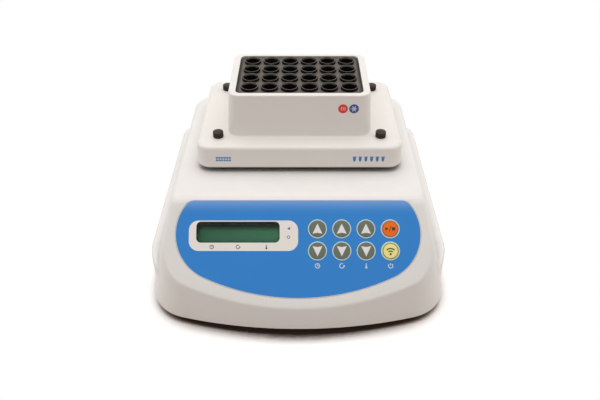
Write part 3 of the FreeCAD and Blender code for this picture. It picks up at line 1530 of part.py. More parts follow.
def make_block_housing():
    """White housing with drafted walls: a wide flange with a box on it, open for the tube block."""
    housing = body("BlockHousing")
    flange = sketch("Flange", housing, z=HOUSING_BOTTOM)
    draw_rounded_rectangle(flange, "flange_half_width", "flange_half_depth", "flange_corner")
    bind(pad(housing, flange, "flange_height - lip_thickness"), TaperAngle="0 - housing_draft")
    upper = sketch("Box", housing, z=FLANGE_TOP)
    foot_half_width = f"box_half_width + {BOX_SPREAD}"
    draw_rounded_rectangle(
        upper, foot_half_width, f"box_half_depth + {BOX_SPREAD}", f"box_corner + {BOX_SPREAD}"
    )
    bind(pad(housing, upper, "box_height"), TaperAngle="0 - housing_draft")
    flange_top, rim = number(FLANGE_TOP), number(RIM)
    half_width = number(foot_half_width)
    round_edges(housing, "flange_rounding", lambda edge: (
        lies_at(edge, flange_top) and not within_box(edge, half_width)
    ))
    round_edges(housing, "box_foot_rounding", lambda edge: (
        lies_at(edge, flange_top) and within_box(edge, half_width)
    ))
    round_edges(housing, "box_rounding", lambda edge: lies_at(edge, rim))
    opening = sketch("Opening", housing, z=RIM)
    draw_rounded_rectangle(opening, *OPENING_HALF, "block_corner + block_side_gap")
    pocket(housing, opening, "box_height + flange_height + overrun")
    foot = sketch("FootSeat", housing, z=f"{FLANGE_BOTTOM} + block_foot_height + block_side_gap")
    draw_rounded_rectangle(
        foot, f"{FOOT_HALF_WIDTH} + block_side_gap", f"{FOOT_HALF_DEPTH} + block_side_gap", "block_corner"
    )
    pocket(housing, foot, "block_foot_height + overrun")
    holes = [
        cylinder(
            "clamp_shank_radius + running_gap", "flange_height + 2 * overrun",
            f"{x} - orbit_radius", f"{y} - shaker_y", f"{FLANGE_BOTTOM} - overrun",
        )
        for x, y in CLAMP_PLACES
    ]
    return place(cut(housing, *holes), "orbit_radius", "shaker_y")


def within_box(edge, half_width):
    """Whether an edge lies no further out than the upper box."""
    bounds = edge.BoundBox
    return max(abs(bounds.XMin), abs(bounds.XMax)) < half_width + TOLERANCE


COLLAR_RADIUS = "(well_radius + well_collar_width)"
COLLAR_TOP = f"({BLOCK_TOP} + well_collar_height)"


def make_tube_block():
    """Metal block with its foot and a grid of wells, each with a raised collar."""
    block = body("TubeBlock")
    foot = sketch("Foot", block, z=FLANGE_BOTTOM)
    draw_rounded_rectangle(foot, FOOT_HALF_WIDTH, FOOT_HALF_DEPTH, "block_corner")
    pad(block, foot, "block_foot_height")
    upper = sketch("Upper", block, z=FLANGE_BOTTOM)
    draw_rounded_rectangle(upper, *BODY_HALF, "block_corner")
    pad(block, upper, f"{BLOCK_TOP} - {FLANGE_BOTTOM}")
    left, front = "(1 - well_columns) / 2 * well_pitch", "(1 - well_rows) / 2 * well_pitch"
    ring = sketch("Collar", block, x=left, y=front, z=BLOCK_TOP)
    collar = pad(block, draw_circle(ring, COLLAR_RADIUS), "well_collar_height")
    slant = sketch("Bevel", block, "XZ_Plane", x=left, y=COLLAR_TOP, z=f"0 - {front}")
    bevel = block.newObject("PartDesign::Groove", "Bevel")
    bevel.Profile = draw_collar_bevel(slant)
    bevel.ReferenceAxis = (slant, ["V_Axis"])
    mouth = sketch("Bore", block, x=left, y=front, z=COLLAR_TOP)
    bore = pocket(block, draw_circle(mouth, "well_radius"), "well_depth + well_collar_height")
    wells = block.newObject("PartDesign::MultiTransform", "Wells")
    across = block.newObject("PartDesign::LinearPattern", "Across")
    deep = block.newObject("PartDesign::LinearPattern", "Deep")
    across.Direction = (foot, ["H_Axis"])
    deep.Direction = (foot, ["V_Axis"])
    bind(across, Length="well_pitch * (well_columns - 1)", Occurrences="well_columns")
    bind(deep, Length="well_pitch * (well_rows - 1)", Occurrences="well_rows")
    wells.Originals = [collar, bevel, bore]
    wells.Transformations = [across, deep]
    block.Tip = wells
    return place(block, "orbit_radius", "shaker_y")


def draw_collar_bevel(drawing):
    """Profile that takes the outer edge off a collar when it is turned round the well's axis."""
    inner = f"{COLLAR_RADIUS} - well_collar_chamfer"
    outer = f"{COLLAR_RADIUS} + well_collar_chamfer"
    foot = "0 - well_collar_chamfer"
    draw_half_profile([
        (inner, "0"), (COLLAR_RADIUS, foot), (outer, foot), (outer, "well_collar_chamfer"),
        (inner, "well_collar_chamfer"),
    ])(drawing)
    return drawing


def make_clamp_screw(x, y):
    """Captive screw with a plain top and a ring groove round its knurled head."""
    head = "clamp_head_radius"
    middle = "(clamp_head_height / 2)"
    screw = revolve("ClampScrew", draw_half_profile([
        ("0", "0 - flange_height - clamp_reach"), ("clamp_shank_radius", "0 - flange_height - clamp_reach"),
        ("clamp_shank_radius", "0"), (head, "0"),
        (head, f"{middle} - clamp_groove_width"),
        (f"{head} - clamp_groove", f"{middle} - clamp_groove_width"),
        (f"{head} - clamp_groove", middle), (head, middle),
        (head, "clamp_head_height - clamp_groove"), (f"{head} - clamp_groove", "clamp_head_height"),
        ("0", "clamp_head_height"),
    ]))
    return place(screw, x, y, FLANGE_TOP)


def check_and_write():
    """Stop at any failed object, then write each piece to its own STEP file."""
    doc.recompute()
    for thing in doc.Objects:
        if "Invalid" in thing.State or "Error" in thing.State:
            raise ValueError(f"{thing.Name} ({thing.Label}) failed: {thing.State}")
    os.makedirs("parts", exist_ok=True)
    for piece in NODES:
        shape = piece.Shape
        if shape.isNull() or not shape.isValid() or not shape.Solids:
            raise ValueError(f"{piece.Label} has no valid solid")
        shape.exportStep(os.path.join("parts", f"{piece.Label}.step"))
    print(f"{len(NODES)} pieces written")


make_top_cover()
make_base()
make_panel()
make_rear()
make_electronics()
make_fan()
make_drive()
make_platform()
make_block()
check_and_write()
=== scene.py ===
"""Dressed scene of a bench thermo-shaker: finishes, printed panel, tube block, soft light and camera.

Lengths are in millimetres unless a docstring says otherwise. Blender gets them in metres.
"""

import json
import logging
import math
from dataclasses import dataclass, field
from enum import Enum

import bmesh
import bpy
from mathutils import Matrix, Vector

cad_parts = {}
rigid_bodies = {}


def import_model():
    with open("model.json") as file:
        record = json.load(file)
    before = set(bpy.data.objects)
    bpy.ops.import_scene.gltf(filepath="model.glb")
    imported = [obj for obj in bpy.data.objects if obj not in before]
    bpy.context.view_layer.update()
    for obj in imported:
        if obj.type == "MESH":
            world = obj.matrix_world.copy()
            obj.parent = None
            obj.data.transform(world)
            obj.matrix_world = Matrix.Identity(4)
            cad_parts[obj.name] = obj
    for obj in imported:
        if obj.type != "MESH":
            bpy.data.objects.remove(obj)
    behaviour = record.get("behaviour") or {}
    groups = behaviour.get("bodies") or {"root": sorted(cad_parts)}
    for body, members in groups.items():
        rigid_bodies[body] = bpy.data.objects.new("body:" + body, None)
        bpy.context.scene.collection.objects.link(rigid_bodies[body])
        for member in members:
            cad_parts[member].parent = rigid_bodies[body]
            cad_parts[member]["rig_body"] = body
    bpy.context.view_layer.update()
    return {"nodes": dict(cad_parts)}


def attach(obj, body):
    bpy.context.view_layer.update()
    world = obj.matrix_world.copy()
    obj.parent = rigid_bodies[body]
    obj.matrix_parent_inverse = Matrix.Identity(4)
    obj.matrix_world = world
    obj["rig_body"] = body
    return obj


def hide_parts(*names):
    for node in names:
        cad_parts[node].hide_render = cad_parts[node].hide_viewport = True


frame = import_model()

LOG = logging.getLogger("thermo_shaker")
MM = 0.001
PRINT_THICKNESS = 0.03
MERGE_DISTANCE = 0.002
SEAM_DISTANCE = 1e-4

Point = tuple[float, float]
Colour = tuple[float, float, float, float]
Mesh = bmesh.types.BMesh
Socket = bpy.types.NodeSocket
Given = Socket | float | Colour


def grey(level: float) -> Colour:
    """Return a scene-linear grey."""
    return (level, level, level, 1.0)


def linear(code: str, gain: float = 1.0) -> Colour:
    """Turn a screen colour such as "f0eee8" into a scene-linear colour.

    Args:
        code: Six hexadecimal digits.
        gain: Factor on the linear colour, for lighter or darker variants.

    Returns:
        Red, green, blue and an alpha of one.
    """
    parts = [int(code[i:i + 2], 16) / 255 for i in (0, 2, 4)]
    scene = [part / 12.92 if part <= 0.04045 else ((part + 0.055) / 1.055) ** 2.4 for part in parts]
    return (*[min(1.0, part * gain) for part in scene], 1.0)


WHITE = grey(1.0)


# Places on the object

def tipped(foot: Vector, turn: float) -> Matrix:
    """Return the placement of a flat figure that stands at foot, tipped up by an angle in radians."""
    return Matrix.Translation(foot * MM) @ Matrix.Rotation(turn, 4, "X") @ Matrix.Scale(MM, 4)


@dataclass(frozen=True)
class PanelPlane:
    """Sloping front panel: places are given across and down the slope from the bend."""

    slope: float = 47.0
    bend_y: float = -64.6
    deck: float = 91.9

    def normal(self) -> Vector:
        """Return the direction straight out of the panel."""
        turn = math.radians(self.slope)
        return Vector((0, -math.sin(turn), math.cos(turn)))

    def matrix(self, across: float, down: float, out: float = 0.0) -> Matrix:
        """Return the placement of a figure drawn flat, X across, Y up the slope and Z outwards.

        Args:
            across: Distance along X.
            down: Distance down the slope from the bend line.
            out: Distance above the panel's surface.

        Returns:
            A matrix from millimetres on the figure's plane to metres in the frame.
        """
        turn = math.radians(self.slope)
        rise = Vector((0, math.cos(turn), math.sin(turn)))
        foot = Vector((across, self.bend_y, self.deck)) - down * rise + out * self.normal()
        return tipped(foot, turn)


@dataclass(frozen=True)
class FrontWall:
    """Wall that faces the front and leans back by the mould's draft, in degrees."""

    depth: float
    level: float
    draft: float = 4.0

    def matrix(self, across: float, height: float, out: float = 0.0) -> Matrix:
        """Return the placement of a figure drawn flat, X across, Y up the wall and Z outwards.

        Args:
            across: Distance along X.
            height: Height above the ground.
            out: Distance in front of the wall.

        Returns:
            A matrix from millimetres on the figure's plane to metres in the frame.
        """
        lean = math.radians(self.draft)
        depth = self.depth + (height - self.level) * math.tan(lean) - out
        return tipped(Vector((across, depth, height)), math.pi / 2 - lean)


PANEL = PanelPlane()


# Shader nodes

class Wiring:
    """The nodes of one node tree, with short ways to add and join them."""

    def __init__(self, tree: bpy.types.NodeTree) -> None:
        """Take the tree that gets the nodes."""
        self.tree = tree

    def node(self, kind: str, inputs: dict | None = None, **settings: object) -> bpy.types.Node:
        """Add a node.

        Args:
            kind: Blender's name of the type.
            inputs: What each input gets, by its name or number: a socket or a constant.
            **settings: Properties of the node, set before its inputs.

        Returns:
            The new node.
        """
        made = self.tree.nodes.new(kind)
        for key, setting in settings.items():
            setattr(made, key, setting)
        self.feed(made, inputs or {})
        return made

    def feed(self, node: bpy.types.Node, inputs: dict) -> None:
        """Link sockets to a node's inputs, or set the inputs' constants.

        Args:
            node: Node whose inputs are meant.
            inputs: What each input gets, by its name or number: a socket or a constant.
        """
        for key, given in inputs.items():
            if isinstance(given, Socket):
                self.tree.links.new(given, node.inputs[key])
            else:
                node.inputs[key].default_value = given

    def place(self) -> Socket:
        """Return the piece's own coordinates."""
        return self.node("ShaderNodeTexCoord").outputs["Object"]

    def axis(self, vector: Socket, letter: str) -> Socket:
        """Return one coordinate of a vector."""
        return self.node("ShaderNodeSeparateXYZ", {"Vector": vector}).outputs[letter]

    def facing(self, letter: str) -> Socket:
        """Return one coordinate of the surface's normal."""
        return self.axis(self.node("ShaderNodeNewGeometry").outputs["Normal"], letter)

    def math(self, operation: str, *operands: Socket | float) -> Socket:
        """Return the result of a math node on sockets or numbers."""
        return self.node("ShaderNodeMath", dict(enumerate(operands)), operation=operation).outputs[0]

    def span(
        self, value: Socket, low: Socket | float = 0.0, high: Socket | float = 1.0,
        ends: Point = (0.0, 1.0), shape: str = "LINEAR",
    ) -> Socket:
        """Spread the values between two limits over another range, and hold what lies outside.

        Args:
            value: Socket with the value.
            low: Value, or its socket, that gives the first end.
            high: Value, or its socket, that gives the second end.
            ends: First and second end of the result.
            shape: Blender's name of the way from one end to the other.

        Returns:
            The socket with the result.
        """
        names = ("Value", "From Min", "From Max", "To Min", "To Max")
        inputs = dict(zip(names, (value, low, high, *ends)))
        return self.node("ShaderNodeMapRange", inputs, interpolation_type=shape).outputs["Result"]

    def noise(self, vector: Socket, scale: Socket | float, detail: float) -> Socket:
        """Return the value of a noise texture on a vector."""
        inputs = {"Vector": vector, "Scale": scale, "Detail": detail}
        return self.node("ShaderNodeTexNoise", inputs).outputs["Fac"]

    def blend(self, share: Socket | float, first: Given, second: Given, way: str = "MIX") -> Socket:
        """Mix two colours.

        Args:
            share: Share of the second colour, or its socket.
            first: Socket or constant colour.
            second: Socket or constant colour.
            way: Blender's name of the way to mix them.

        Returns:
            The mixed colour's socket.
        """
        inputs = {"Factor": share, 6: first, 7: second}
        return self.node("ShaderNodeMix", inputs, data_type="RGBA", blend_type=way).outputs[2]

    def bump(self, height: Socket, strength: float, depth: float) -> Socket:
        """Return the normals of a relief with the given depth."""
        inputs = {"Height": height, "Strength": strength, "Distance": depth * MM}
        return self.node("ShaderNodeBump", inputs).outputs["Normal"]

    def effect(self, tree: bpy.types.NodeTree, **inputs: float) -> bpy.types.Node:
        """Add one of the shared effects, with its own values for some inputs."""
        return self.node("ShaderNodeGroup", inputs, node_tree=tree)

    def nearby(self, reach: float, samples: int) -> Socket:
        """Return how open the space round a point is, within a reach in millimetres."""
        near = self.node("ShaderNodeAmbientOcclusion", {"Distance": reach * MM}, samples=samples)
        return near.outputs["AO"]

    def seen_directly(self) -> Socket:
        """Tell rays from the camera, and those that metal or glass sends on, from all others.

        Returns:
            The socket that is one for such rays.
        """
        ray = self.node("ShaderNodeLightPath").outputs
        sent_on = self.math("MAXIMUM", ray["Is Glossy Ray"], ray["Is Transmission Ray"])
        return self.math("MAXIMUM", ray["Is Camera Ray"], sent_on)

    def up_the_panel(self, low: float, high: float) -> tuple[Socket, Socket]:
        """Measure along the slope of the front panel.

        Args:
            low: Place on the slope that gives nought.
            high: Place on the slope that gives one.

        Returns:
            The coordinates turned into the panel's plane, and the share between low and high.
        """
        inputs = {"Vector": self.place(), "Rotation": (math.radians(-PANEL.slope), 0, 0)}
        on_panel = self.node("ShaderNodeMapping", inputs).outputs["Vector"]
        return on_panel, self.span(self.axis(on_panel, "Y"), low * MM, high * MM)


class EffectGroup(Wiring):
    """Shader node group with named inputs and outputs."""

    def __init__(self, name: str, inputs: dict[str, float], outputs: tuple[str, ...]) -> None:
        """Open the group.

        Args:
            name: Name of the node group.
            inputs: Input names with their default values.
            outputs: Names of the float outputs.
        """
        super().__init__(bpy.data.node_groups.new(name, "ShaderNodeTree"))
        add = self.tree.interface.new_socket
        for label, amount in inputs.items():
            add(name=label, in_out="INPUT", socket_type="NodeSocketFloat").default_value = amount
        for label in outputs:
            add(name=label, in_out="OUTPUT", socket_type="NodeSocketFloat")
        self.entry = self.node("NodeGroupInput").outputs
        self.exit = self.node("NodeGroupOutput")


class Effects:
    """The effects that several finishes share, each built once."""

    def __init__(self) -> None:
        """Build all groups."""
        self.grain = self._grain()
        self.streaks = self._streaks()
        self.dust = self._dust()

    def _grain(self) -> bpy.types.NodeTree:
        """Build a moulded or blasted skin: a fine height and a slow wandering tone.

        Returns:
            The group's node tree.
        """
        group = EffectGroup("mould_grain", {"Scale": 2500.0, "Cloud": 30.0}, ("Height", "Tone"))
        where = group.place()
        fine = group.noise(where, group.entry["Scale"], detail=2.0)
        cloud = group.noise(where, group.entry["Cloud"], detail=4.0)
        group.feed(group.exit, {"Height": fine, "Tone": group.span(cloud, low=0.3, high=0.7)})
        return group.tree

    def _streaks(self) -> bpy.types.NodeTree:
        """Build fine lines along X, as brushing or milling leaves them.

        Returns:
            The group's node tree.
        """
        group = EffectGroup("brush_lines", {"Scale": 3000.0, "Cloud": 25.0}, ("Height", "Tone"))
        where = group.place()
        drawn_out = group.node("ShaderNodeMapping", {"Vector": where, "Scale": (0.02, 1.0, 1.0)})
        lines = group.noise(drawn_out.outputs["Vector"], group.entry["Scale"], detail=3.0)
        cloud = group.noise(where, group.entry["Cloud"], detail=3.0)
        both = group.math("ADD", group.math("MULTIPLY", lines, 0.6), group.math("MULTIPLY", cloud, 0.4))
        group.feed(group.exit, {"Height": lines, "Tone": group.span(both, low=0.35, high=0.65)})
        return group.tree

    def _dust(self) -> bpy.types.NodeTree:
        """Build dust that lies on faces that look up, in soft patches.

        Returns:
            The group's node tree.
        """
        group = EffectGroup("settled_dust", {"Amount": 0.1, "Scale": 90.0}, ("Mask",))
        upward = group.span(group.facing("Z"), low=0.4)
        cloud = group.noise(group.place(), group.entry["Scale"], detail=6.0)
        patches = group.span(cloud, low=0.4, high=0.75)
        mask = group.math("MULTIPLY", group.math("MULTIPLY", upward, patches), group.entry["Amount"])
        group.feed(group.exit, {"Mask": mask})
        return group.tree


EFFECTS = Effects()


class Surface(Wiring):
    """The nodes of a material round its Principled shader."""

    def __init__(self, name: str) -> None:
        """Start a new material with this name."""
        self.material = bpy.data.materials.new(name)
        self.material.use_nodes = True
        super().__init__(self.material.node_tree)
        self.shader = self.tree.nodes["Principled BSDF"]

    def dress(self, **inputs: Given) -> None:
        """Feed the shader; a name's underscores stand for spaces."""
        self.feed(self.shader, {key.replace("_", " "): given for key, given in inputs.items()})


# Finishes

class Skin(Enum):
    """How a surface was made, which decides its fine pattern."""

    MOULDED = "grain"
    BLASTED = "blasted"
    BRUSHED = "streaks"


DUST_GREY = "c9c4ba"
# Painted shade in narrow gaps: its colour, and the open-space shares where it is full and where it ends.
PAINTED_GAP_SHADE = "3a332c"
GAP_OPENNESS = (0.25, 0.75)
GAP_SAMPLES = 8
ROUGHNESS_SPREAD = 0.06
LEAST_ROUGHNESS = 0.02
BLASTED_BUMP = 0.6
PLAIN_BUMP = 0.35


@dataclass(frozen=True)
class Finish:
    """Finish of an opaque surface.

    Attributes:
        name: Name of the material.
        colour: Screen colour.
        roughness: Middle of the roughness.
        skin: How the surface was made.
        tone: How far the colour wanders, as a share.
        grain: Scale of the fine pattern, in cycles per metre.
        relief: Depth of the fine pattern.
        metallic: One for bare metal.
        dust: How much dust lies on it.
        shine: Specular level, lower for dull prints.
        contact: How near another piece must be for painted shade to darken this one.
    """

    name: str
    colour: str
    roughness: float
    skin: Skin = Skin.MOULDED
    tone: float = 0.03
    grain: float = 2500.0
    relief: float = 0.02
    metallic: float = 0.0
    dust: float = 0.0
    shine: float = 0.5
    contact: float = 0.0

    def material(self) -> bpy.types.Material:
        """Look the material up, or build it at its first use.

        Returns:
            The finish's material.
        """
        known = bpy.data.materials.get(self.name)
        if known:
            return known
        nodes = Surface(self.name)
        self.wire(nodes)
        return nodes.material

    def wire(self, nodes: Surface) -> None:
        """Set up the material.

        Args:
            nodes: The material's nodes.
        """
        pattern = EFFECTS.streaks if self.skin is Skin.BRUSHED else EFFECTS.grain
        skin = nodes.effect(pattern, Scale=self.grain).outputs
        smoothest = max(LEAST_ROUGHNESS, self.roughness - ROUGHNESS_SPREAD)
        roughest = min(1.0, self.roughness + ROUGHNESS_SPREAD)
        strength = BLASTED_BUMP if self.skin is Skin.BLASTED else PLAIN_BUMP
        nodes.dress(
            Base_Color=self.tint(nodes, skin["Tone"]),
            Metallic=self.metallic,
            Specular_IOR_Level=self.shine,
            Roughness=nodes.span(skin["Tone"], ends=(smoothest, roughest)),
            Normal=nodes.bump(skin["Height"], strength, self.relief),
        )

    def tint(self, nodes: Surface, tone: Socket) -> Socket:
        """Mix the colour: it wanders slowly, dust lies on top, and painted shade darkens narrow gaps.

        Args:
            nodes: The material's nodes.
            tone: Slow wandering value from nought to one.

        Returns:
            The colour's socket.
        """
        colour = nodes.blend(tone, linear(self.colour, 1 - self.tone), linear(self.colour, 1 + self.tone))
        if self.dust:
            mask = nodes.effect(EFFECTS.dust, Amount=self.dust).outputs["Mask"]
            colour = nodes.blend(mask, colour, linear(DUST_GREY))
        # Painted shade: the colour darkens where little open space lies round the surface.
        if self.contact:
            openness = nodes.span(nodes.nearby(self.contact, GAP_SAMPLES), *GAP_OPENNESS)
            colour = nodes.blend(openness, linear(PAINTED_GAP_SHADE), colour)
        return colour


@dataclass(frozen=True)
class LabelFilm(Finish):
    """Printed film with a painted highlight that lightens its top edge, where it bends towards the light.

    Attributes:
        light_from: Place on the slope where it starts to lighten.
        light_to: Place on the slope where it is lightest.
        highlight: Colour of the painted highlight at its top edge.
    """

    light_from: float = 9.0
    light_to: float = 21.5
    highlight: str = "92bbf0"

    def tint(self, nodes: Surface, tone: Socket) -> Socket:
        """Mix the film's colour and add the painted highlight towards the top.

        Args:
            nodes: The material's nodes.
            tone: Slow wandering value from nought to one.

        Returns:
            The colour's socket.
        """
        # Painted highlight: the film lightens towards its top edge.
        _, share = nodes.up_the_panel(self.light_from, self.light_to)
        return nodes.blend(nodes.math("POWER", share, 2.0), super().tint(nodes, tone), linear(self.highlight))


@dataclass(frozen=True)
class BlackWithPaintedLight(Finish):
    """Black coat with painted light where it faces the front, as the wells' countersinks show at their backs.

    Attributes:
        painted_light: Colour of the painted light.
        front: How far the normal points along Y where the painted light starts and where it is full.
    """

    painted_light: str = "574f49"
    front: Point = (-0.35, -0.7)

    def tint(self, nodes: Surface, tone: Socket) -> Socket:
        """Mix the black and add painted light by how far the surface faces the front.

        Args:
            nodes: The material's nodes.
            tone: Slow wandering value from nought to one.

        Returns:
            The colour's socket.
        """
        # Painted light: the black lightens where the surface faces the front.
        share = nodes.span(nodes.facing("Y"), *self.front)
        return nodes.blend(share, super().tint(nodes, tone), linear(self.painted_light))


@dataclass(frozen=True)
class ClearWindow(Finish):
    """Clear plastic window.

    Attributes:
        bend: Index of refraction.
        scratches: How much rougher the scratched parts are.
    """

    bend: float = 1.15
    scratches: float = 0.03

    def wire(self, nodes: Surface) -> None:
        """Set up a clear, slightly scratched sheet.

        Args:
            nodes: The material's nodes.
        """
        tone = nodes.effect(EFFECTS.grain, Scale=self.grain).outputs["Tone"]
        dull = self.roughness, self.roughness + self.scratches
        nodes.dress(
            Base_Color=linear(self.colour), Transmission_Weight=1.0, IOR=self.bend,
            Roughness=nodes.span(tone, ends=dull),
        )


@dataclass(frozen=True)
class LiquidCrystal(Finish):
    """Unlit liquid crystal glass: dark green, darker to the left, painted shadow at the top, faint character
    cells.

    Attributes:
        edge_level: Where its upper edge lies up the slope from the frame's origin.
        shade_width: How far the painted shadow of that edge reaches down.
        left_x: Where it is darkest.
        right_x: Where it is lightest.
        gains: Factors on the colour at the left, at the right and in the painted shadow under the upper edge.
        cell: Width and height of a character with its gap.
        gap: Width of the gap between two characters.
        levels: Greys of the darkest characters and of the gaps.
    """

    edge_level: float = 1.4
    shade_width: float = 5.5
    left_x: float = -80.0
    right_x: float = -15.0
    gains: tuple[float, float, float] = (0.72, 1.25, 0.04)
    cell: Point = (3.55, 5.9)
    gap: float = 0.25
    levels: Point = (0.97, 0.82)

    def wire(self, nodes: Surface) -> None:
        """Set up the tint, its slow gradient and the cells.

        Args:
            nodes: The material's nodes.
        """
        # Painted shadow: the green darkens almost to black under the window's upper edge.
        left, right, upper = [linear(self.colour, gain) for gain in self.gains]
        across = nodes.span(nodes.axis(nodes.place(), "X"), self.left_x * MM, self.right_x * MM)
        on_panel, below_edge = nodes.up_the_panel(self.edge_level, self.edge_level - self.shade_width)
        green = nodes.blend(below_edge, upper, nodes.blend(across, left, right))
        dark, between = [grey(level) for level in self.levels]
        cells = nodes.node("ShaderNodeTexBrick", {
            "Vector": on_panel, "Scale": 1.0, "Mortar Size": self.gap * MM,
            "Brick Width": self.cell[0] * MM, "Row Height": self.cell[1] * MM,
            "Color1": WHITE, "Color2": dark, "Mortar": between,
        }, offset=0.0)
        tinted = nodes.blend(1.0, green, cells.outputs["Color"], "MULTIPLY")
        nodes.dress(Base_Color=tinted, Roughness=self.roughness, Specular_IOR_Level=self.shine)


@dataclass(frozen=True)
class CircuitBoard(Finish):
    """Green board with copper tracks under its lacquer.

    Attributes:
        pitch: Distance from one track to the next, along X and along Y.
        width: Width of a track.
        gains: Factors on the colour of the lightest fields and of the tracks.
    """

    pitch: Point = (9.0, 2.2)
    width: float = 0.35
    gains: Point = (1.15, 1.9)

    def wire(self, nodes: Surface) -> None:
        """Set up the lacquer and the tracks.

        Args:
            nodes: The material's nodes.
        """
        lightest, copper = [linear(self.colour, gain) for gain in self.gains]
        tracks = nodes.node("ShaderNodeTexBrick", {
            "Vector": nodes.place(), "Scale": 1.0, "Mortar Size": self.width * MM,
            "Brick Width": self.pitch[0] * MM, "Row Height": self.pitch[1] * MM,
            "Color1": linear(self.colour), "Color2": lightest, "Mortar": copper,
        })
        relief = nodes.bump(tracks.outputs["Fac"], strength=0.3, depth=self.relief)
        nodes.dress(Base_Color=tracks.outputs["Color"], Roughness=self.roughness, Normal=relief)


# contact gives the reach of the painted shade in the casing's narrow gaps, such as under the block's flange.
CASING_WHITE = Finish(
    "casing_white_plastic", "efece9", 0.42, tone=0.012, grain=1800, relief=0.03, dust=0.05, contact=8.0
)
HOUSING_WHITE = Finish("housing_white_plastic", "efebe6", 0.4, tone=0.012, grain=2200, relief=0.02, dust=0.04)
LIP_WHITE = Finish("lip_pale_plastic", "e6e2da", 0.5, tone=0.02)
TRAY_GREY = Finish("tray_powder_coat", "b4b5b4", 0.55, tone=0.04, grain=1400, relief=0.05)
FOOT_RUBBER = Finish("foot_rubber", "24231f", 0.8, tone=0.12, grain=900, relief=0.06, dust=0.1)
# The label's film carries a painted highlight along its top edge.
LABEL_BLUE = LabelFilm("label_blue_film", "3a8dde", 0.42, tone=0.015, grain=3500, relief=0.01, shine=0.2)
LABEL_EDGE = Finish("label_edge_print", "f3e6e2", 0.45, tone=0.02, shine=0.3)
SURROUND_GREY = Finish("surround_grey_print", "f9f3ef", 0.45, tone=0.015, grain=3500, relief=0.01, shine=0.3)
MARK_DARK = Finish("mark_dark_print", "4c4e50", 0.5, tone=0.03, shine=0.2)
MARK_DEEP = Finish("mark_deep_print", "413c36", 0.5, tone=0.03, shine=0.2)
MARK_PALE = Finish("mark_pale_print", "dfe9f5", 0.5, tone=0.02)
MARK_BLUE = Finish("mark_blue_print", "4a7fc0", 0.5, tone=0.02)
MARK_RED = Finish("mark_red_print", "e6382b", 0.5, tone=0.02)
MARK_NAVY = Finish("mark_navy_print", "2f4a9a", 0.5, tone=0.02)
MARK_WHITE = Finish("mark_white_print", "eef0f0", 0.5, tone=0.01)
KEY_GREY = Finish("key_grey_print", "70786c", 0.42, tone=0.02, shine=0.25)
KEY_ARROW = Finish("key_arrow_print", "f4f1f2", 0.42, tone=0.01, shine=0.3)
KEY_ORANGE = Finish("key_orange_print", "fd7618", 0.4, tone=0.02, shine=0.2)
KEY_YELLOW = Finish("key_yellow_print", "fff59c", 0.4, tone=0.02, shine=0.2)
RIM_PALE = Finish("rim_pale_print", "d9f0ea", 0.4, tone=0.01, shine=0.3)
# The crystal's green carries a painted shadow under the window's upper edge.
CRYSTAL_GREEN = LiquidCrystal("crystal_green_glass", "3c6d50", 0.25, shine=0.12)
WINDOW_CLEAR = ClearWindow("window_clear_plastic", "f4f7f5", 0.02)
# Black of the display frame, and also of the painted shade and painted shadow at the display window.
FRAME_AND_SHADE_BLACK = Finish("frame_black_and_painted_shade", "151515", 0.5, tone=0.1, shine=0.2)
BOARD_GREEN = CircuitBoard("board_green_lacquer", "1d5a38", 0.35, relief=0.03)
PART_BLACK = Finish("component_black", "1b1b1c", 0.5, tone=0.1)
ZINC = Finish("zinc_steel", "c2c4c6", 0.3, Skin.BRUSHED, metallic=1.0, tone=0.06)
MILLED = Finish("milled_aluminium", "cfd1d3", 0.38, Skin.BRUSHED, metallic=1.0, tone=0.08)
TURNED = Finish("turned_steel", "b9babb", 0.28, Skin.BRUSHED, metallic=1.0, tone=0.06)
BRASS = Finish("turned_brass", "cdae62", 0.3, Skin.BRUSHED, metallic=1.0, tone=0.05)
GROUND = Finish("ground_bearing_steel", "d0d1d3", 0.18, Skin.BRUSHED, metallic=1.0, tone=0.03)
CERAMIC = Finish("module_ceramic", "eceae4", 0.5, tone=0.03)
FOAM = Finish("closed_cell_foam", "3a3a3a", 0.9, Skin.BLASTED, tone=0.15, grain=1200, relief=0.2)
SWITCH_BLACK = Finish("switch_black_plastic", "1d1d1e", 0.38, tone=0.08, dust=0.03)
FAN_BLACK = Finish("fan_black_plastic", "1a1a1b", 0.42, tone=0.08)
BLOCK_BLACK = Finish(
    "block_black_anodised", "5b534c", 0.5, Skin.BLASTED, tone=0.12, grain=2600, relief=0.06, shine=0.4
)
# Painted shade in the bores and on the collars' walls: a near-black copy of the block's anodising.
WELL_PAINTED_SHADE = Finish("well_painted_shade", "0e0d0c", 0.45, tone=0.1, grain=1500, relief=0.02, shine=0.12)
# Painted shade and painted light on the countersinks: black, lighter where they face the front.
SINK_PAINTED_SHADE_AND_LIGHT = BlackWithPaintedLight("sink_painted_shade_and_light", "0e0d0c", 0.45, tone=0.1, grain=1500, relief=0.02, shine=0.2)
SCREW_BLACK = Finish(
    "screw_black_oxide", "302218", 0.45, Skin.BLASTED, tone=0.12, grain=3000, relief=0.03, shine=0.25
)


# Pieces

def add_piece(name: str, mesh: Mesh, body: str, finish: Finish, crease: float = 32.0) -> bpy.types.Object:
    """Turn a finished bmesh into a piece of the model.

    Args:
        name: Name of the piece.
        mesh: Geometry in its place, in metres; freed here.
        body: Body that the piece rides on.
        finish: Finish of the whole piece.
        crease: Angle in degrees above which an edge stays sharp.

    Returns:
        The new object.
    """
    data = bpy.data.meshes.new(name)
    mesh.to_mesh(data)
    mesh.free()
    data.polygons.foreach_set("use_smooth", [True] * len(data.polygons))
    data.set_sharp_from_angle(angle=math.radians(crease))
    data.materials.append(finish.material())
    piece = bpy.data.objects.new(name, data)
    bpy.context.scene.collection.objects.link(piece)
    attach(piece, body)
    LOG.info("%s rides on %s", name, body)
    return piece


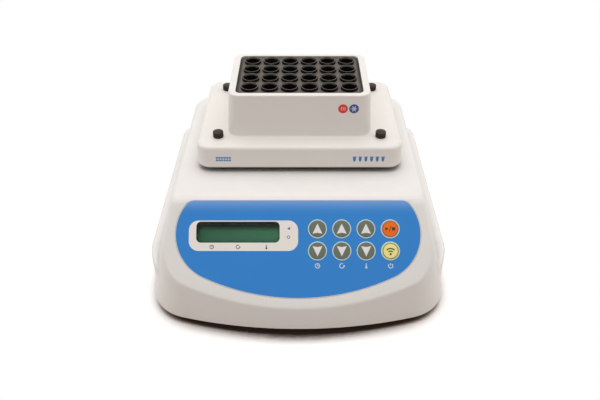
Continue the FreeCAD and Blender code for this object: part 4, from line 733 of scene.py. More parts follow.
def merged_copy(node: str) -> Mesh:
    """Join the loose triangles of a CAD node.

    Args:
        node: Name of the CAD node.

    Returns:
        A bmesh copy with shared corners.
    """
    mesh = bmesh.new()
    mesh.from_mesh(frame["nodes"][node].data)
    bmesh.ops.remove_doubles(mesh, verts=mesh.verts, dist=MERGE_DISTANCE * MM)
    return mesh


def smooth_node(node: str, finish: Finish, crease: float = 32.0) -> bpy.types.Object:
    """Show a CAD node as a copy with joined faces and smooth shading.

    Args:
        node: Name of the CAD node.
        finish: Finish of the copy.
        crease: Angle in degrees above which an edge stays sharp.

    Returns:
        The copy, which stands for the node.
    """
    source = frame["nodes"][node]
    piece = add_piece(f"{node}_skin", merged_copy(node), source["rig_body"], finish, crease)
    weighted = piece.modifiers.new("even_faces", "WEIGHTED_NORMAL")
    weighted.keep_sharp = True
    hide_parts(node)
    return piece


def dress_node(node: str, finish: Finish) -> None:
    """Give a CAD node its finish and leave its mesh as it is.

    Args:
        node: Name of the CAD node.
        finish: Finish of the whole node.
    """
    holder = frame["nodes"][node]
    holder.data.materials.clear()
    holder.data.materials.append(finish.material())
    LOG.info("%s dressed as it is", node)


def centred(count: int, pitch: float) -> list[float]:
    """Return evenly spaced places round nought."""
    return [(number - (count - 1) / 2) * pitch for number in range(count)]


def verts_of(items: list) -> list[bmesh.types.BMVert]:
    """Return the vertices among the items that an operator gives back."""
    return [item for item in items if isinstance(item, bmesh.types.BMVert)]


def turned(mesh: Mesh, profile: list[Point], place: Matrix, closed: bool = False, steps: int = 64) -> None:
    """Spin a half profile round the Z axis and set the shape in its place.

    Args:
        mesh: The bmesh that gets the shape. What it holds already stays as it is.
        profile: Corners of the half profile, as radius and height.
        place: Placement of the shape.
        closed: True for a ring. Otherwise the profile's two ends lie on the axis.
        steps: Number of faces round the shape.
    """
    before = set(mesh.verts)
    verts = [mesh.verts.new((radius, 0, height)) for radius, height in profile]
    following = verts[1:] + verts[:1] if closed else verts[1:]
    edges = [mesh.edges.new(pair) for pair in zip(verts, following)]
    bmesh.ops.spin(
        mesh, geom=verts + edges, cent=(0, 0, 0), axis=(0, 0, 1), angle=math.tau, steps=steps, use_merge=True
    )
    made = [vert for vert in mesh.verts if vert not in before]
    bmesh.ops.remove_doubles(mesh, verts=made, dist=SEAM_DISTANCE)
    made = [vert for vert in mesh.verts if vert not in before]
    faces = list({face for vert in made for face in vert.link_faces})
    bmesh.ops.recalc_face_normals(mesh, faces=faces)
    bmesh.ops.transform(mesh, matrix=place, verts=made)


def copy_to(mesh: Mesh, spots: list[Vector]) -> None:
    """Put a copy of what a bmesh holds at each spot and take the first one out.

    Args:
        mesh: The bmesh, drawn in millimetres round its own origin; in metres afterwards.
        spots: Places of the copies.
    """
    first = mesh.verts[:] + mesh.edges[:] + mesh.faces[:]
    for spot in spots:
        copied = verts_of(bmesh.ops.duplicate(mesh, geom=first)["geom"])
        bmesh.ops.transform(mesh, matrix=Matrix.Translation(spot * MM) @ Matrix.Scale(MM, 4), verts=copied)
    bmesh.ops.delete(mesh, geom=verts_of(first), context="VERTS")


# Printed figures

LEAST_STEPS = 8
STEP_ANGLE = 7.5


@dataclass
class Figure:
    """Flat printed figure, drawn round its own origin."""

    mesh: Mesh = field(default_factory=bmesh.new)
    thickness: float = PRINT_THICKNESS

    def disc(self, x: float, y: float, radius: float, steps: int = 40) -> "Figure":
        """Add a filled disc.

        Args:
            x: Centre of the disc.
            y: Centre of the disc.
            radius: Radius of the disc.
            steps: Number of corners.

        Returns:
            The figure itself.
        """
        place = Matrix.Translation((x, y, 0))
        bmesh.ops.create_circle(self.mesh, cap_ends=True, segments=steps, radius=radius, matrix=place)
        return self

    def arc(self, x: float, y: float, radius: float, width: float, start: float, end: float) -> "Figure":
        """Add a band along an arc.

        Args:
            x: Centre of the arc.
            y: Centre of the arc.
            radius: Outer radius.
            width: Width of the band.
            start: First angle in degrees.
            end: Last angle in degrees.

        Returns:
            The figure itself.
        """
        turn = math.radians(start)
        heading = Vector((math.cos(turn), math.sin(turn), 0))
        centre = Vector((x, y, 0))
        inner = self.mesh.verts.new(centre + heading * (radius - width))
        outer = self.mesh.verts.new(centre + heading * radius)
        edge = self.mesh.edges.new((inner, outer))
        sweep = end - start
        bmesh.ops.spin(
            self.mesh, geom=[inner, outer, edge], cent=centre, axis=(0, 0, 1), angle=math.radians(sweep),
            steps=max(LEAST_STEPS, int(abs(sweep) / STEP_ANGLE)), use_merge=abs(sweep) >= 360,
        )
        return self

    def ring(self, x: float, y: float, radius: float, width: float) -> "Figure":
        """Add a full ring and return the figure."""
        return self.arc(x, y, radius, width, start=0, end=360)

    def bar(self, start: Point, end: Point, width: float) -> "Figure":
        """Add a straight bar.

        Args:
            start: Middle of its first end.
            end: Middle of its last end.
            width: Width of the bar.

        Returns:
            The figure itself.
        """
        first, second = Vector((*start, 0)), Vector((*end, 0))
        span = second - first
        place = (
            Matrix.Translation((first + second) / 2)
            @ Matrix.Rotation(math.atan2(span.y, span.x), 4, "Z")
            @ Matrix.Diagonal((span.length, width, 1, 1))
        )
        bmesh.ops.create_grid(self.mesh, x_segments=1, y_segments=1, size=0.5, matrix=place)
        return self

    def arrowhead(
        self, x: float, y: float, width: float, height: float, turn: float, notch: float = 0.0
    ) -> "Figure":
        """Add a triangle, point up before it is turned, with an optional notch in its base.

        Args:
            x: Middle of the figure.
            y: Middle of the figure.
            width: Width of the base.
            height: Height from base to point.
            turn: Turn in degrees, anticlockwise.
            notch: How far the middle of the base is drawn in.

        Returns:
            The figure itself.
        """
        made = bmesh.ops.create_grid(self.mesh, x_segments=2, y_segments=1, size=0.5)["verts"]
        place = Matrix.Translation((x, y, 0)) @ Matrix.Rotation(math.radians(turn), 4, "Z")
        for vert in made:
            if vert.co.y > 0:
                vert.co.x = 0
        for vert in made:
            lift = notch / height if abs(vert.co.x) < 0.1 and vert.co.y < 0 else 0
            vert.co = place @ Vector((vert.co.x * width, (vert.co.y + lift) * height, 0))
        bmesh.ops.remove_doubles(self.mesh, verts=made, dist=SEAM_DISTANCE)
        return self

    def plate(
        self, x: float, y: float, width: float, height: float, corner: float, steps: int = 8
    ) -> "Figure":
        """Add a rectangle with round corners.

        Args:
            x: Middle of the rectangle.
            y: Middle of the rectangle.
            width: Size along X.
            height: Size along Y.
            corner: Radius of the corners, or nought.
            steps: Number of edges round a corner.

        Returns:
            The figure itself.
        """
        place = Matrix.Translation((x, y, 0)) @ Matrix.Diagonal((width, height, 1, 1))
        made = bmesh.ops.create_grid(self.mesh, x_segments=1, y_segments=1, size=0.5, matrix=place)["verts"]
        if corner:
            bmesh.ops.bevel(
                self.mesh, geom=made, offset=corner, offset_type="OFFSET", segments=steps, profile=0.5,
                affect="VERTICES", material=-1,
            )
        return self

    def band(self) -> "Figure":
        """Turn two nested plates into the band between their outlines.

        Returns:
            The figure itself.
        """
        loops = [edge for edge in self.mesh.edges if edge.is_boundary]
        bmesh.ops.delete(self.mesh, geom=self.mesh.faces[:], context="FACES_ONLY")
        bmesh.ops.bridge_loops(self.mesh, edges=loops)
        return self

    def piece(self, name: str, place: Matrix, body: str, finish: Finish) -> bpy.types.Object:
        """Thicken the figure, set it in its place and add it as a piece.

        Args:
            name: Name of the piece.
            place: Placement of the figure.
            body: Body that the piece rides on.
            finish: Finish of the print.

        Returns:
            The new object.
        """
        made = bmesh.ops.extrude_face_region(self.mesh, geom=self.mesh.faces[:])["geom"]
        bmesh.ops.translate(self.mesh, verts=verts_of(made), vec=(0, 0, self.thickness))
        bmesh.ops.recalc_face_normals(self.mesh, faces=self.mesh.faces[:])
        bmesh.ops.transform(self.mesh, matrix=place, verts=self.mesh.verts[:])
        return add_piece(name, self.mesh, body, finish)


def clock_figure(size: float) -> Figure:
    """Draw a small clock.

    Args:
        size: Outer diameter of its ring.

    Returns:
        A ring with two hands.
    """
    line, long_hand, short_hand = size * 0.14, size * 0.3, size * 0.22
    face = Figure().ring(0, 0, size / 2, line)
    return face.bar((0, 0), (0, long_hand), line).bar((0, 0), (short_hand, 0), line)


def turning_figure(size: float) -> Figure:
    """Draw a small circular arrow for the speed.

    Args:
        size: Outer diameter of the arc.

    Returns:
        An open arc with an arrowhead.
    """
    line = size * 0.15
    middle = size / 2 - line / 2
    arc = Figure().arc(0, 0, size / 2, line, start=60, end=350)
    return arc.arrowhead(middle, size * 0.04, width=size * 0.42, height=size * 0.34, turn=0)


def thermometer_figure(size: float) -> Figure:
    """Draw a small thermometer: a bulb and a stem."""
    bulb = Figure().disc(0, -size * 0.3, radius=size * 0.22)
    return bulb.plate(0, size * 0.1, width=size * 0.18, height=size * 0.8, corner=size * 0.088)


def power_figure(size: float) -> Figure:
    """Draw a small open ring with a bar, for start and stop."""
    line = size * 0.15
    return Figure().arc(0, 0, size / 2, line, start=125, end=415).bar((0, 0), (0, size / 2), line)


def waves_figure() -> Figure:
    """Draw the sign for heat.

    Returns:
        Three upright waves.
    """
    waves = Figure()
    for across in (-1.4, 0.0, 1.4):
        waves.arc(across - 0.55, 0.8, radius=0.95, width=0.4, start=-50, end=50)
        waves.arc(across + 0.75, -0.75, radius=0.95, width=0.4, start=130, end=230)
    return waves


def flake_figure() -> Figure:
    """Draw the sign for cold.

    Returns:
        A star of three bars with a ring.
    """
    flake = Figure()
    reach = 2.6
    for turn in range(0, 180, 60):
        heading = Vector((math.cos(math.radians(turn)), math.sin(math.radians(turn)))) * reach
        flake.bar(tuple(-heading), tuple(heading), width=0.45)
    return flake.ring(0, 0, radius=1.5, width=0.35)


def grid_figure(columns: int, rows: int) -> Figure:
    """Draw a grid of small discs that stand for wells.

    Args:
        columns: Number of discs across.
        rows: Number of discs up.

    Returns:
        The grid, round its middle.
    """
    grid = Figure()
    for across in centred(columns, pitch=2.1):
        for up in centred(rows, pitch=2.3):
            grid.disc(across, up, radius=0.95, steps=20)
    return grid


def tubes_figure(count: int) -> Figure:
    """Draw a row of small tubes with caps.

    Args:
        count: Number of tubes.

    Returns:
        The row, round its middle.
    """
    tubes = Figure()
    for across in centred(count, pitch=4.6):
        tubes.plate(across, 1.9, width=3.2, height=0.8, corner=0.2, steps=3)
        tubes.plate(across, 0.2, width=2.3, height=2.6, corner=0.2, steps=3)
        tubes.arrowhead(across, -1.9, width=2.3, height=1.7, turn=180)
    return tubes


# Sub-assemblies

@dataclass
class Casing:
    """Casing, base tray, feet and their screws."""

    deck_crease: float = 40.0

    def build(self) -> None:
        """Dress the casing."""
        smooth_node("top_cover", CASING_WHITE, self.deck_crease)
        smooth_node("bottom_plate", TRAY_GREY)
        smooth_node("rubber_feet", FOOT_RUBBER)
        smooth_node("case_screws", ZINC)


@dataclass
class FrontPanel:
    """Printed label, display and keys."""

    label_out: float = 0.1
    facing_out: float = 0.99
    edge_width: float = 0.45
    opening_margin: float = 2.0
    surround_left: float = -84.4
    surround_right: float = 0.0
    surround_top: float = 18.7
    surround_bottom: float = 42.2
    surround_corner: float = 7.5
    window_centre: Point = (-46.5, 28.3)
    window_size: Point = (64.1, 15.0)
    window_corner: float = 3.6
    window_gap: float = 0.3
    # Painted shade along the window's top edge: its height and its lap.
    top_shade: float = 1.2
    top_shade_lap: float = 0.1
    # Painted shadow behind the window: its widths, its lap and its depth below the panel's surface.
    shadow_widths: tuple[float, float, float] = (1.1, 1.7, 0.5)
    shadow_lap: float = 1.0
    shadow_out: float = -0.5
    below_places: tuple[float, float, float] = (-66.6, -46.4, -24.5)
    below_down: float = 39.1
    below_size: float = 3.3
    aside_x: float = -7.4
    set_down: float = 24.9
    actual_down: float = 31.6
    key_left: float = 14.9
    key_pitch: float = 18.75
    key_rows: Point = (25.2, 42.2)
    key_radius: float = 6.45
    key_out: float = 0.55
    key_crown: float = 0.25
    key_edge: float = 0.35
    key_edge_shares: Point = (0.3, 0.35)
    crown_steps: int = 6
    key_flange: float = 0.9
    key_flange_top: float = -2.8
    key_foot: float = -3.6
    rim_inner: float = 6.55
    rim_outer: float = 7.3
    rim_height: float = 0.3
    rim_bevels: Point = (0.12, 0.2)
    rim_shares: Point = (0.7, 0.3)
    border_width: float = 0.55
    mark_thickness: float = 0.05
    mark_lift: float = 0.01
    longest_edge: float = 1.5
    caption_down: float = 53.6
    caption_size: float = 4.0

    def build(self) -> None:
        """Build the panel from the label outwards."""
        smooth_node("control_overlay", LABEL_BLUE)
        smooth_node("display_window", WINDOW_CLEAR)
        dress_node("display_glass", CRYSTAL_GREEN)
        dress_node("display_frame", FRAME_AND_SHADE_BLACK)
        dress_node("display_board", BOARD_GREEN)
        dress_node("control_board", BOARD_GREEN)
        dress_node("key_switches", PART_BLACK)
        dress_node("panel_screws", ZINC)
        self.label_edge()
        self.surround()
        self.window_painted_shade()
        self.window_painted_shadow()
        self.display_captions()
        self.rims()
        self.keys()
        self.key_captions()

    def near_outline(self, face: bmesh.types.BMFace) -> bool:
        """Tell the label's outline from its openings.

        Args:
            face: Face beside an edge of the label, in its place.

        Returns:
            Whether the face is neither at the window nor at a key hole.
        """
        spot = PANEL.matrix(0, 0).inverted() @ face.calc_center_median()
        place = (spot.x, -spot.y)
        margin = self.opening_margin
        at_window = all(
            abs(here - middle) < size / 2 + margin
            for here, middle, size in zip(place, self.window_centre, self.window_size)
        )
        reach = self.rim_outer + margin
        at_key = any(math.dist(place, key) < reach for key in self.key_places().values())
        return not (at_window or at_key)

    def label_edge(self) -> None:
        """Draw the pale line along the outer edge of the label."""
        mesh = merged_copy("control_overlay")
        normal = PANEL.normal()
        others = [face for face in mesh.faces if face.normal.dot(normal) < self.facing_out]
        bmesh.ops.delete(mesh, geom=others, context="FACES")
        bmesh.ops.dissolve_limit(
            mesh, angle_limit=math.radians(1), use_dissolve_boundaries=False,
            verts=mesh.verts[:], edges=mesh.edges[:],
        )
        band = bmesh.ops.inset_region(
            mesh, faces=mesh.faces[:], thickness=self.edge_width * MM, use_boundary=True, use_even_offset=True
        )["faces"]
        line = {face for face in band if self.near_outline(face)}
        bmesh.ops.delete(mesh, geom=[face for face in mesh.faces if face not in line], context="FACES")
        raised = verts_of(bmesh.ops.extrude_face_region(mesh, geom=mesh.faces[:])["geom"])
        bmesh.ops.translate(mesh, verts=raised, vec=normal * PRINT_THICKNESS * MM)
        bmesh.ops.recalc_face_normals(mesh, faces=mesh.faces[:])
        add_piece("label_edge_line", mesh, "base", LABEL_EDGE)

    def window_plate(self, figure: Figure, x: float, y: float) -> Figure:
        """Add the outline of the window with the painted shade along its top.

        Args:
            figure: Figure that gets the outline.
            x: Middle of the window on the figure.
            y: Middle of the window on the figure.

        Returns:
            The figure itself.
        """
        width, height = self.window_size
        width, height = width + self.window_gap, height + self.top_shade
        return figure.plate(x, y + self.top_shade / 2, width, height, self.window_corner)

    def surround(self) -> None:
        """Print the pale plate round the display window."""
        width = self.surround_right - self.surround_left
        height = self.surround_bottom - self.surround_top
        middle = (self.surround_left + self.surround_right) / 2
        level = (self.surround_top + self.surround_bottom) / 2
        across, down = self.window_centre
        figure = Figure().plate(0, 0, width, height, self.surround_corner)
        self.window_plate(figure, across - middle, level - down).band()
        place = PANEL.matrix(middle, level, self.label_out)
        figure.piece("display_surround", place, "base", SURROUND_GREY)

    def window_painted_shade(self) -> None:
        """Lay the black painted shade along the top of the display window."""
        width, height = [size - self.top_shade_lap for size in self.window_size]
        figure = self.window_plate(Figure(), 0, 0)
        figure.plate(0, -self.window_gap / 2, width, height, self.window_corner).band()
        place = PANEL.matrix(*self.window_centre, self.label_out)
        figure.piece("window_painted_shade", place, "base", FRAME_AND_SHADE_BLACK)

    def window_painted_shadow(self) -> None:
        """Lay the black painted shadow behind the display window, widest at the top and the left."""
        width, height = self.window_size
        left, top, right = self.shadow_widths
        lap = self.shadow_lap
        # Painted shadow: a black band inside the window's outline, widest at the top and the left.
        figure = Figure().plate(0, 0, width + lap, height + lap, self.window_corner)
        across = (left - right) / 2
        figure.plate(across, -top / 2, width - left - right, height - top, self.window_corner - lap).band()
        place = PANEL.matrix(*self.window_centre, self.shadow_out)
        figure.piece("window_painted_shadow", place, "base", FRAME_AND_SHADE_BLACK)

    def display_captions(self) -> None:
        """Print the dark figures under and beside the display."""
        out = self.label_out + PRINT_THICKNESS
        draws = (clock_figure, turning_figure, thermometer_figure)
        for number, (across, draw) in enumerate(zip(self.below_places, draws), 1):
            place = PANEL.matrix(across, self.below_down, out)
            draw(self.below_size).piece(f"display_caption_{number}", place, "base", MARK_DARK)
        beside = (
            ("set", self.set_down, Figure().arrowhead(0, 0, width=2.2, height=2.2, turn=90)),
            ("actual", self.actual_down, Figure().ring(0, 0, radius=1.2, width=0.4)),
        )
        for name, down, figure in beside:
            figure.piece(f"display_caption_{name}", PANEL.matrix(self.aside_x, down, out), "base", MARK_DARK)

    def key_places(self) -> dict[str, Point]:
        """Lay the keys out in two rows.

        Returns:
            The place of each key on the panel, by its body's name.
        """
        rows = (
            ("key_time_up", "key_speed_up", "key_heat_up", "key_start_stop"),
            ("key_time_down", "key_speed_down", "key_heat_down", "key_wireless"),
        )
        return {
            name: (self.key_left + column * self.key_pitch, down)
            for down, names in zip(self.key_rows, rows) for column, name in enumerate(names)
        }

    def rims(self) -> None:
        """Turn the pale raised rims round the key holes, in one piece."""
        inner, outer, height = self.rim_inner, self.rim_outer, self.rim_height
        profile = [
            (inner, 0.0), (inner, height * self.rim_shares[0]), (inner + self.rim_bevels[0], height),
            (outer - self.rim_bevels[1], height), (outer, height * self.rim_shares[1]), (outer, 0.0),
        ]
        mesh = bmesh.new()
        for across, down in self.key_places().values():
            turned(mesh, profile, PANEL.matrix(across, down, self.label_out), closed=True)
        piece = add_piece("key_rim_rings", mesh, "base", RIM_PALE)
        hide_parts("key_rims")

    def keys(self) -> None:
        """Make the eight key caps with what is printed on them."""
        for name, (across, down) in self.key_places().items():
            finish = {"key_start_stop": KEY_ORANGE, "key_wireless": KEY_YELLOW}.get(name, KEY_GREY)
            place = PANEL.matrix(across, down)
            self.cap(name, place, finish)
            if finish is KEY_GREY:
                self.arrow(name, place)
            else:
                border = self.mark().ring(0, 0, self.key_radius - self.key_edge, self.border_width)
                self.lay(border, f"{name}_border", place, name, KEY_GREY)
        self.start_stop_mark()
        self.wireless_mark()

    def dome(self, radius: float) -> float:
        """Return the height of the key's crowned face at a distance from its middle."""
        return self.key_out + self.key_crown * (1 - (radius / self.key_radius) ** 2)

    def cap(self, name: str, place: Matrix, finish: Finish) -> None:
        """Turn a key cap with a crowned face and its flange behind the panel.

        Args:
            name: The key's body, which is also its CAD node.
            place: Placement of the key.
            finish: Finish of the cap.
        """
        rim = self.key_radius - self.key_edge
        steps = self.crown_steps
        crown = [(rim * step / steps, self.dome(rim * step / steps)) for step in range(steps + 1)]
        inward, downward = [self.key_edge * share for share in self.key_edge_shares]
        edge = [
            (self.key_radius - inward, self.dome(rim) - downward),
            (self.key_radius, self.dome(rim) - self.key_edge),
        ]
        flange = self.key_radius + self.key_flange
        foot = [
            (self.key_radius, self.key_flange_top), (flange, self.key_flange_top), (flange, self.key_foot),
            (0.0, self.key_foot),
        ]
        mesh = bmesh.new()
        turned(mesh, crown + edge + foot, place)
        piece = add_piece(f"{name}_cap", mesh, name, finish)
        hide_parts(name)

    def mark(self) -> Figure:
        """Return an empty figure for a print on a key."""
        return Figure(thickness=self.mark_thickness)

    def lay(self, figure: Figure, name: str, place: Matrix, body: str, finish: Finish) -> None:
        """Print a figure on a key's crowned face, where every corner takes the height of the face.

        Args:
            figure: The flat figure.
            name: Name of the piece.
            place: Placement of the key.
            body: The key's body.
            finish: Finish of the print.
        """
        mesh = figure.mesh
        long_edges = [edge for edge in mesh.edges if edge.calc_length() > self.longest_edge]
        bmesh.ops.subdivide_edges(mesh, edges=long_edges, cuts=2, use_grid_fill=True)
        bmesh.ops.triangulate(mesh, faces=mesh.faces[:])
        for vert in mesh.verts:
            vert.co.z = self.dome(vert.co.xy.length) + self.mark_lift
        figure.piece(name, place, body, finish)

    def arrow(self, name: str, place: Matrix) -> None:
        """Print the pale arrowhead on a grey key.

        Args:
            name: The key's body.
            place: Placement of the key.
        """
        turn, shift = (0, 0.2) if name.endswith("up") else (180, -0.2)
        figure = self.mark().arrowhead(0, shift, width=7.6, height=7.8, turn=turn, notch=0.7)
        self.lay(figure, f"{name}_arrow", place, name, KEY_ARROW)

    def start_stop_mark(self) -> None:
        """Print the start triangle, slash and stop square."""
        name = "key_start_stop"
        figure = self.mark().arrowhead(-2.6, 0, width=2.8, height=2.4, turn=-90)
        figure.bar((-0.9, -1.9), (0.6, 1.9), width=0.5)
        figure.plate(2.5, 0, width=2.5, height=2.5, corner=0)
        self.lay(figure, f"{name}_mark", PANEL.matrix(*self.key_places()[name]), name, MARK_DEEP)

    def wireless_mark(self) -> None:
        """Print a plain dot with two radio arcs."""
        name = "key_wireless"
        foot = -2.4
        figure = self.mark().disc(0, foot, radius=0.8)
        for radius in (2.7, 4.7):
            figure.arc(0, foot, radius, width=0.85, start=45, end=135)
        self.lay(figure, f"{name}_mark", PANEL.matrix(*self.key_places()[name]), name, MARK_DEEP)

    def key_captions(self) -> None:
        """Print the pale figures under the key columns."""
        draws = (clock_figure, turning_figure, thermometer_figure, power_figure)
        for index, draw in enumerate(draws):
            place = PANEL.matrix(self.key_left + index * self.key_pitch, self.caption_down, self.label_out)
            draw(self.caption_size).piece(f"key_caption_{index + 1}", place, "base", MARK_PALE)


@dataclass
class TubeBlock:
    """Block with its wells, housing, lip and clamp screws."""

    centre: Point = (1.0, 28.4)
    well_pitch: float = 16.15
    well_counts: tuple[int, int] = (6, 4)
    well_radius: float = 5.6
    collar_radius: float = 7.1
    collar_height: float = 2.2
    collar_foot: float = 0.3
    crown_inner: float = 6.3
    crown_outer: float = 6.8
    sink_depth: float = 1.2
    crown_facing: float = 0.9
    sink_facing: float = 0.1
    block_top: float = 149.7
    clearance: float = 0.1
    screw_x: float = 66.5
    screw_y: float = 41.5
    flange_top: float = 114.85
    head_radius: float = 4.25
    head_height: float = 4.8
    head_bevel: float = 0.5
    head_belly: float = 0.15
    groove_depth: float = 0.3
    groove_slant: float = 0.1
    groove_shares: Point = (0.52, 0.42)
    head_foot: float = 0.35
    shank_radius: float = 2.5
    shank_end: float = -24.15
    knurls: int = 36
    knurl_depth: float = 0.22
    knurl_margins: Point = (0.2, 0.3)
    box_wall: FrontWall = FrontWall(-10.8, 151.0)
    flange_wall: FrontWall = FrontWall(-31.3, 97.4)
    disc_radius: float = 3.9
    disc_level: float = 139.6
    heat_x: float = 35.8
    cool_x: float = 44.6
    mark_level: float = 104.3
    grid_x: float = -60.5
    tubes_x: float = 57.0

    def build(self) -> None:
        """Build the block from the bottom up."""
        smooth_node("block_base_plate", LIP_WHITE)
        smooth_node("block_housing", HOUSING_WHITE)
        self.wells(smooth_node("tube_block", BLOCK_BLACK))
        self.collars()
        self.screws()
        self.heat_marks()
        self.flange_marks()

    def well_places(self) -> list[Vector]:
        """Lay the wells out in columns and rows.

        Returns:
            The middle of each well in the plane.
        """
        columns, rows = [centred(count, self.well_pitch) for count in self.well_counts]
        return [Vector((self.centre[0] + x, self.centre[1] + y)) for x in columns for y in rows]

    def wells(self, block: bpy.types.Object) -> None:
        """Paint shade into the bores and take the plain collars off, as finer turned ones take their place.

        Args:
            block: The block's visual piece.
        """
        mesh = bmesh.new()
        mesh.from_mesh(block.data)
        above = (self.block_top + self.clearance / 2) * MM
        collars = [face for face in mesh.faces if face.calc_center_median().z > above]
        bmesh.ops.delete(mesh, geom=collars, context="FACES")
        for vert in mesh.verts:
            vert.co.z = min(vert.co.z, self.block_top * MM)
        places = self.well_places()
        open_edges = [edge for edge in mesh.edges if edge.is_boundary]
        reach = self.collar_radius + self.clearance
        for place in places:
            seat = [edge for edge in open_edges if (edge.verts[0].co.xy / MM - place).length < reach]
            bmesh.ops.bridge_loops(mesh, edges=seat)
        mesh.to_mesh(block.data)
        mesh.free()
        # Painted shade: the bore faces get the near-black material.
        block.data.materials.append(WELL_PAINTED_SHADE.material())
        for face in block.data.polygons:
            away = min((face.center.xy / MM - place).length for place in places)
            if away < self.well_radius + self.clearance:
                face.material_index = 1

    def collars(self) -> None:
        """Turn the collars round the wells, in one piece: a narrow crown, sunk inside, bevelled outside."""
        height = self.collar_height
        bevel = self.collar_radius - self.crown_outer
        profile = [
            (self.well_radius, -self.collar_foot), (self.well_radius, height - self.sink_depth),
            (self.crown_inner, height), (self.crown_outer, height),
            (self.collar_radius, height - bevel), (self.collar_radius, -self.collar_foot),
        ]
        mesh = bmesh.new()
        turned(mesh, profile, Matrix.Identity(4), closed=True)
        # Painted shade on the collars' walls and bores, and painted shade with painted light on the
        # countersinks.
        for face in mesh.faces:
            inside = face.calc_center_median().xy.length < self.crown_inner
            if face.normal.z < self.crown_facing:
                face.material_index = 2 if inside and face.normal.z > self.sink_facing else 1
        copy_to(mesh, [Vector((*place, self.block_top)) for place in self.well_places()])
        piece = add_piece("well_collars", mesh, "block", BLOCK_BLACK)
        for finish in (WELL_PAINTED_SHADE, SINK_PAINTED_SHADE_AND_LIGHT):
            piece.data.materials.append(finish.material())

    def knurl(self, mesh: Mesh) -> None:
        """Draw in every second line of a screw head's rim.

        Args:
            mesh: The bmesh, which holds one screw round its own origin.
        """
        step = math.tau / (2 * self.knurls)
        low, high = self.knurl_margins[0], self.head_height - self.knurl_margins[1]
        for vert in mesh.verts:
            outer = vert.co.xy.length > self.head_radius - self.clearance / 2 and low < vert.co.z < high
            if outer and round(math.atan2(vert.co.y, vert.co.x) / step) % 2:
                vert.co.xy *= 1 - self.knurl_depth / self.head_radius

    def screws(self) -> None:
        """Turn the four knurled screws with a groove round the head."""
        radius, height = self.head_radius, self.head_height
        upper, lower = [height * share for share in self.groove_shares]
        inner = radius - self.groove_depth
        crown = [
            (0.0, height), (radius - self.head_bevel, height),
            (radius - self.head_belly, height - self.head_belly), (radius, height - self.head_bevel),
        ]
        groove = [
            (radius, upper), (inner, upper - self.groove_slant),
            (inner, lower), (radius, lower - self.groove_slant),
        ]
        foot = [
            (radius, self.head_foot), (inner, 0.0),
            (self.shank_radius, 0.0), (self.shank_radius, self.shank_end), (0.0, self.shank_end),
        ]
        mesh = bmesh.new()
        turned(mesh, crown + groove + foot, Matrix.Identity(4), steps=2 * self.knurls)
        self.knurl(mesh)
        copy_to(mesh, [
            Vector((self.centre[0] + x, self.centre[1] + y, self.flange_top))
            for x in (-self.screw_x, self.screw_x) for y in (-self.screw_y, self.screw_y)
        ])
        piece = add_piece("clamp_screw_set", mesh, "block", SCREW_BLACK)
        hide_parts("clamp_screws")

    def heat_marks(self) -> None:
        """Print the red and blue discs for heating and cooling on the front of the housing."""
        for name, across, finish in (("heat", self.heat_x, MARK_RED), ("cool", self.cool_x, MARK_NAVY)):
            place = self.box_wall.matrix(across, self.disc_level)
            Figure().disc(0, 0, self.disc_radius).piece(f"{name}_disc", place, "block", finish)
        signs = (("heat_waves", self.heat_x, waves_figure), ("cool_flake", self.cool_x, flake_figure))
        for name, across, draw in signs:
            place = self.box_wall.matrix(across, self.disc_level, PRINT_THICKNESS)
            draw().piece(name, place, "block", MARK_WHITE)

    def flange_marks(self) -> None:
        """Print the small blue figures on the front of the flange: half a grid of wells, and tubes."""
        columns, rows = self.well_counts
        marks = (
            ("well_grid_mark", self.grid_x, grid_figure(columns, rows // 2)),
            ("tube_mark", self.tubes_x, tubes_figure(columns)),
        )
        for name, across, figure in marks:
            figure.piece(name, self.flange_wall.matrix(across, self.mark_level), "block", MARK_BLUE)


@dataclass
class RearPanel:
    """Power switch and inlet. Angles are in degrees."""

    rocker_x: float = 30.0
    rocker_pivot: float = 121.0
    rocker_throw: float = 20.0
    height: float = 27.0
    mark_reach: float = 4.2
    crease: float = 12.0

    def build(self) -> None:
        """Dress switch and inlet, and mark the rocker's two sides."""
        smooth_node("switch_housing", SWITCH_BLACK)
        smooth_node("switch_rocker", SWITCH_BLACK, self.crease)
        smooth_node("dc_inlet", SWITCH_BLACK)
        smooth_node("dc_inlet_pin", GROUND)
        on_mark = Figure().bar((0, -1.7), (0, 1.7), width=0.6)
        on_mark.piece("rocker_mark_on", self.face(1, 0.0), "rocker", MARK_WHITE)
        off_mark = Figure().ring(0, 0, radius=1.6, width=0.5)
        off_mark.piece("rocker_mark_off", self.face(-1, self.rocker_throw), "rocker", MARK_WHITE)

    def face(self, side: int, lean: float) -> Matrix:
        """Return the placement of a figure on one half of the rocker, seen from behind.

        Args:
            side: One for the half at larger X, minus one for the other.
            lean: Angle of that half.

        Returns:
            A matrix from millimetres on the figure's plane to metres in the frame.
        """
        turn = math.radians(lean)
        across = self.rocker_x + side * self.mark_reach * math.cos(turn)
        depth = self.rocker_pivot + self.mark_reach * math.sin(turn)
        heading = Matrix.Rotation(side * turn, 4, "Z") @ Matrix.Rotation(math.pi, 4, "Z")
        upright = heading @ Matrix.Rotation(math.pi / 2, 4, "X")
        foot = Matrix.Translation(Vector((across, depth, self.height)) * MM)
        return foot @ upright @ Matrix.Scale(MM, 4)


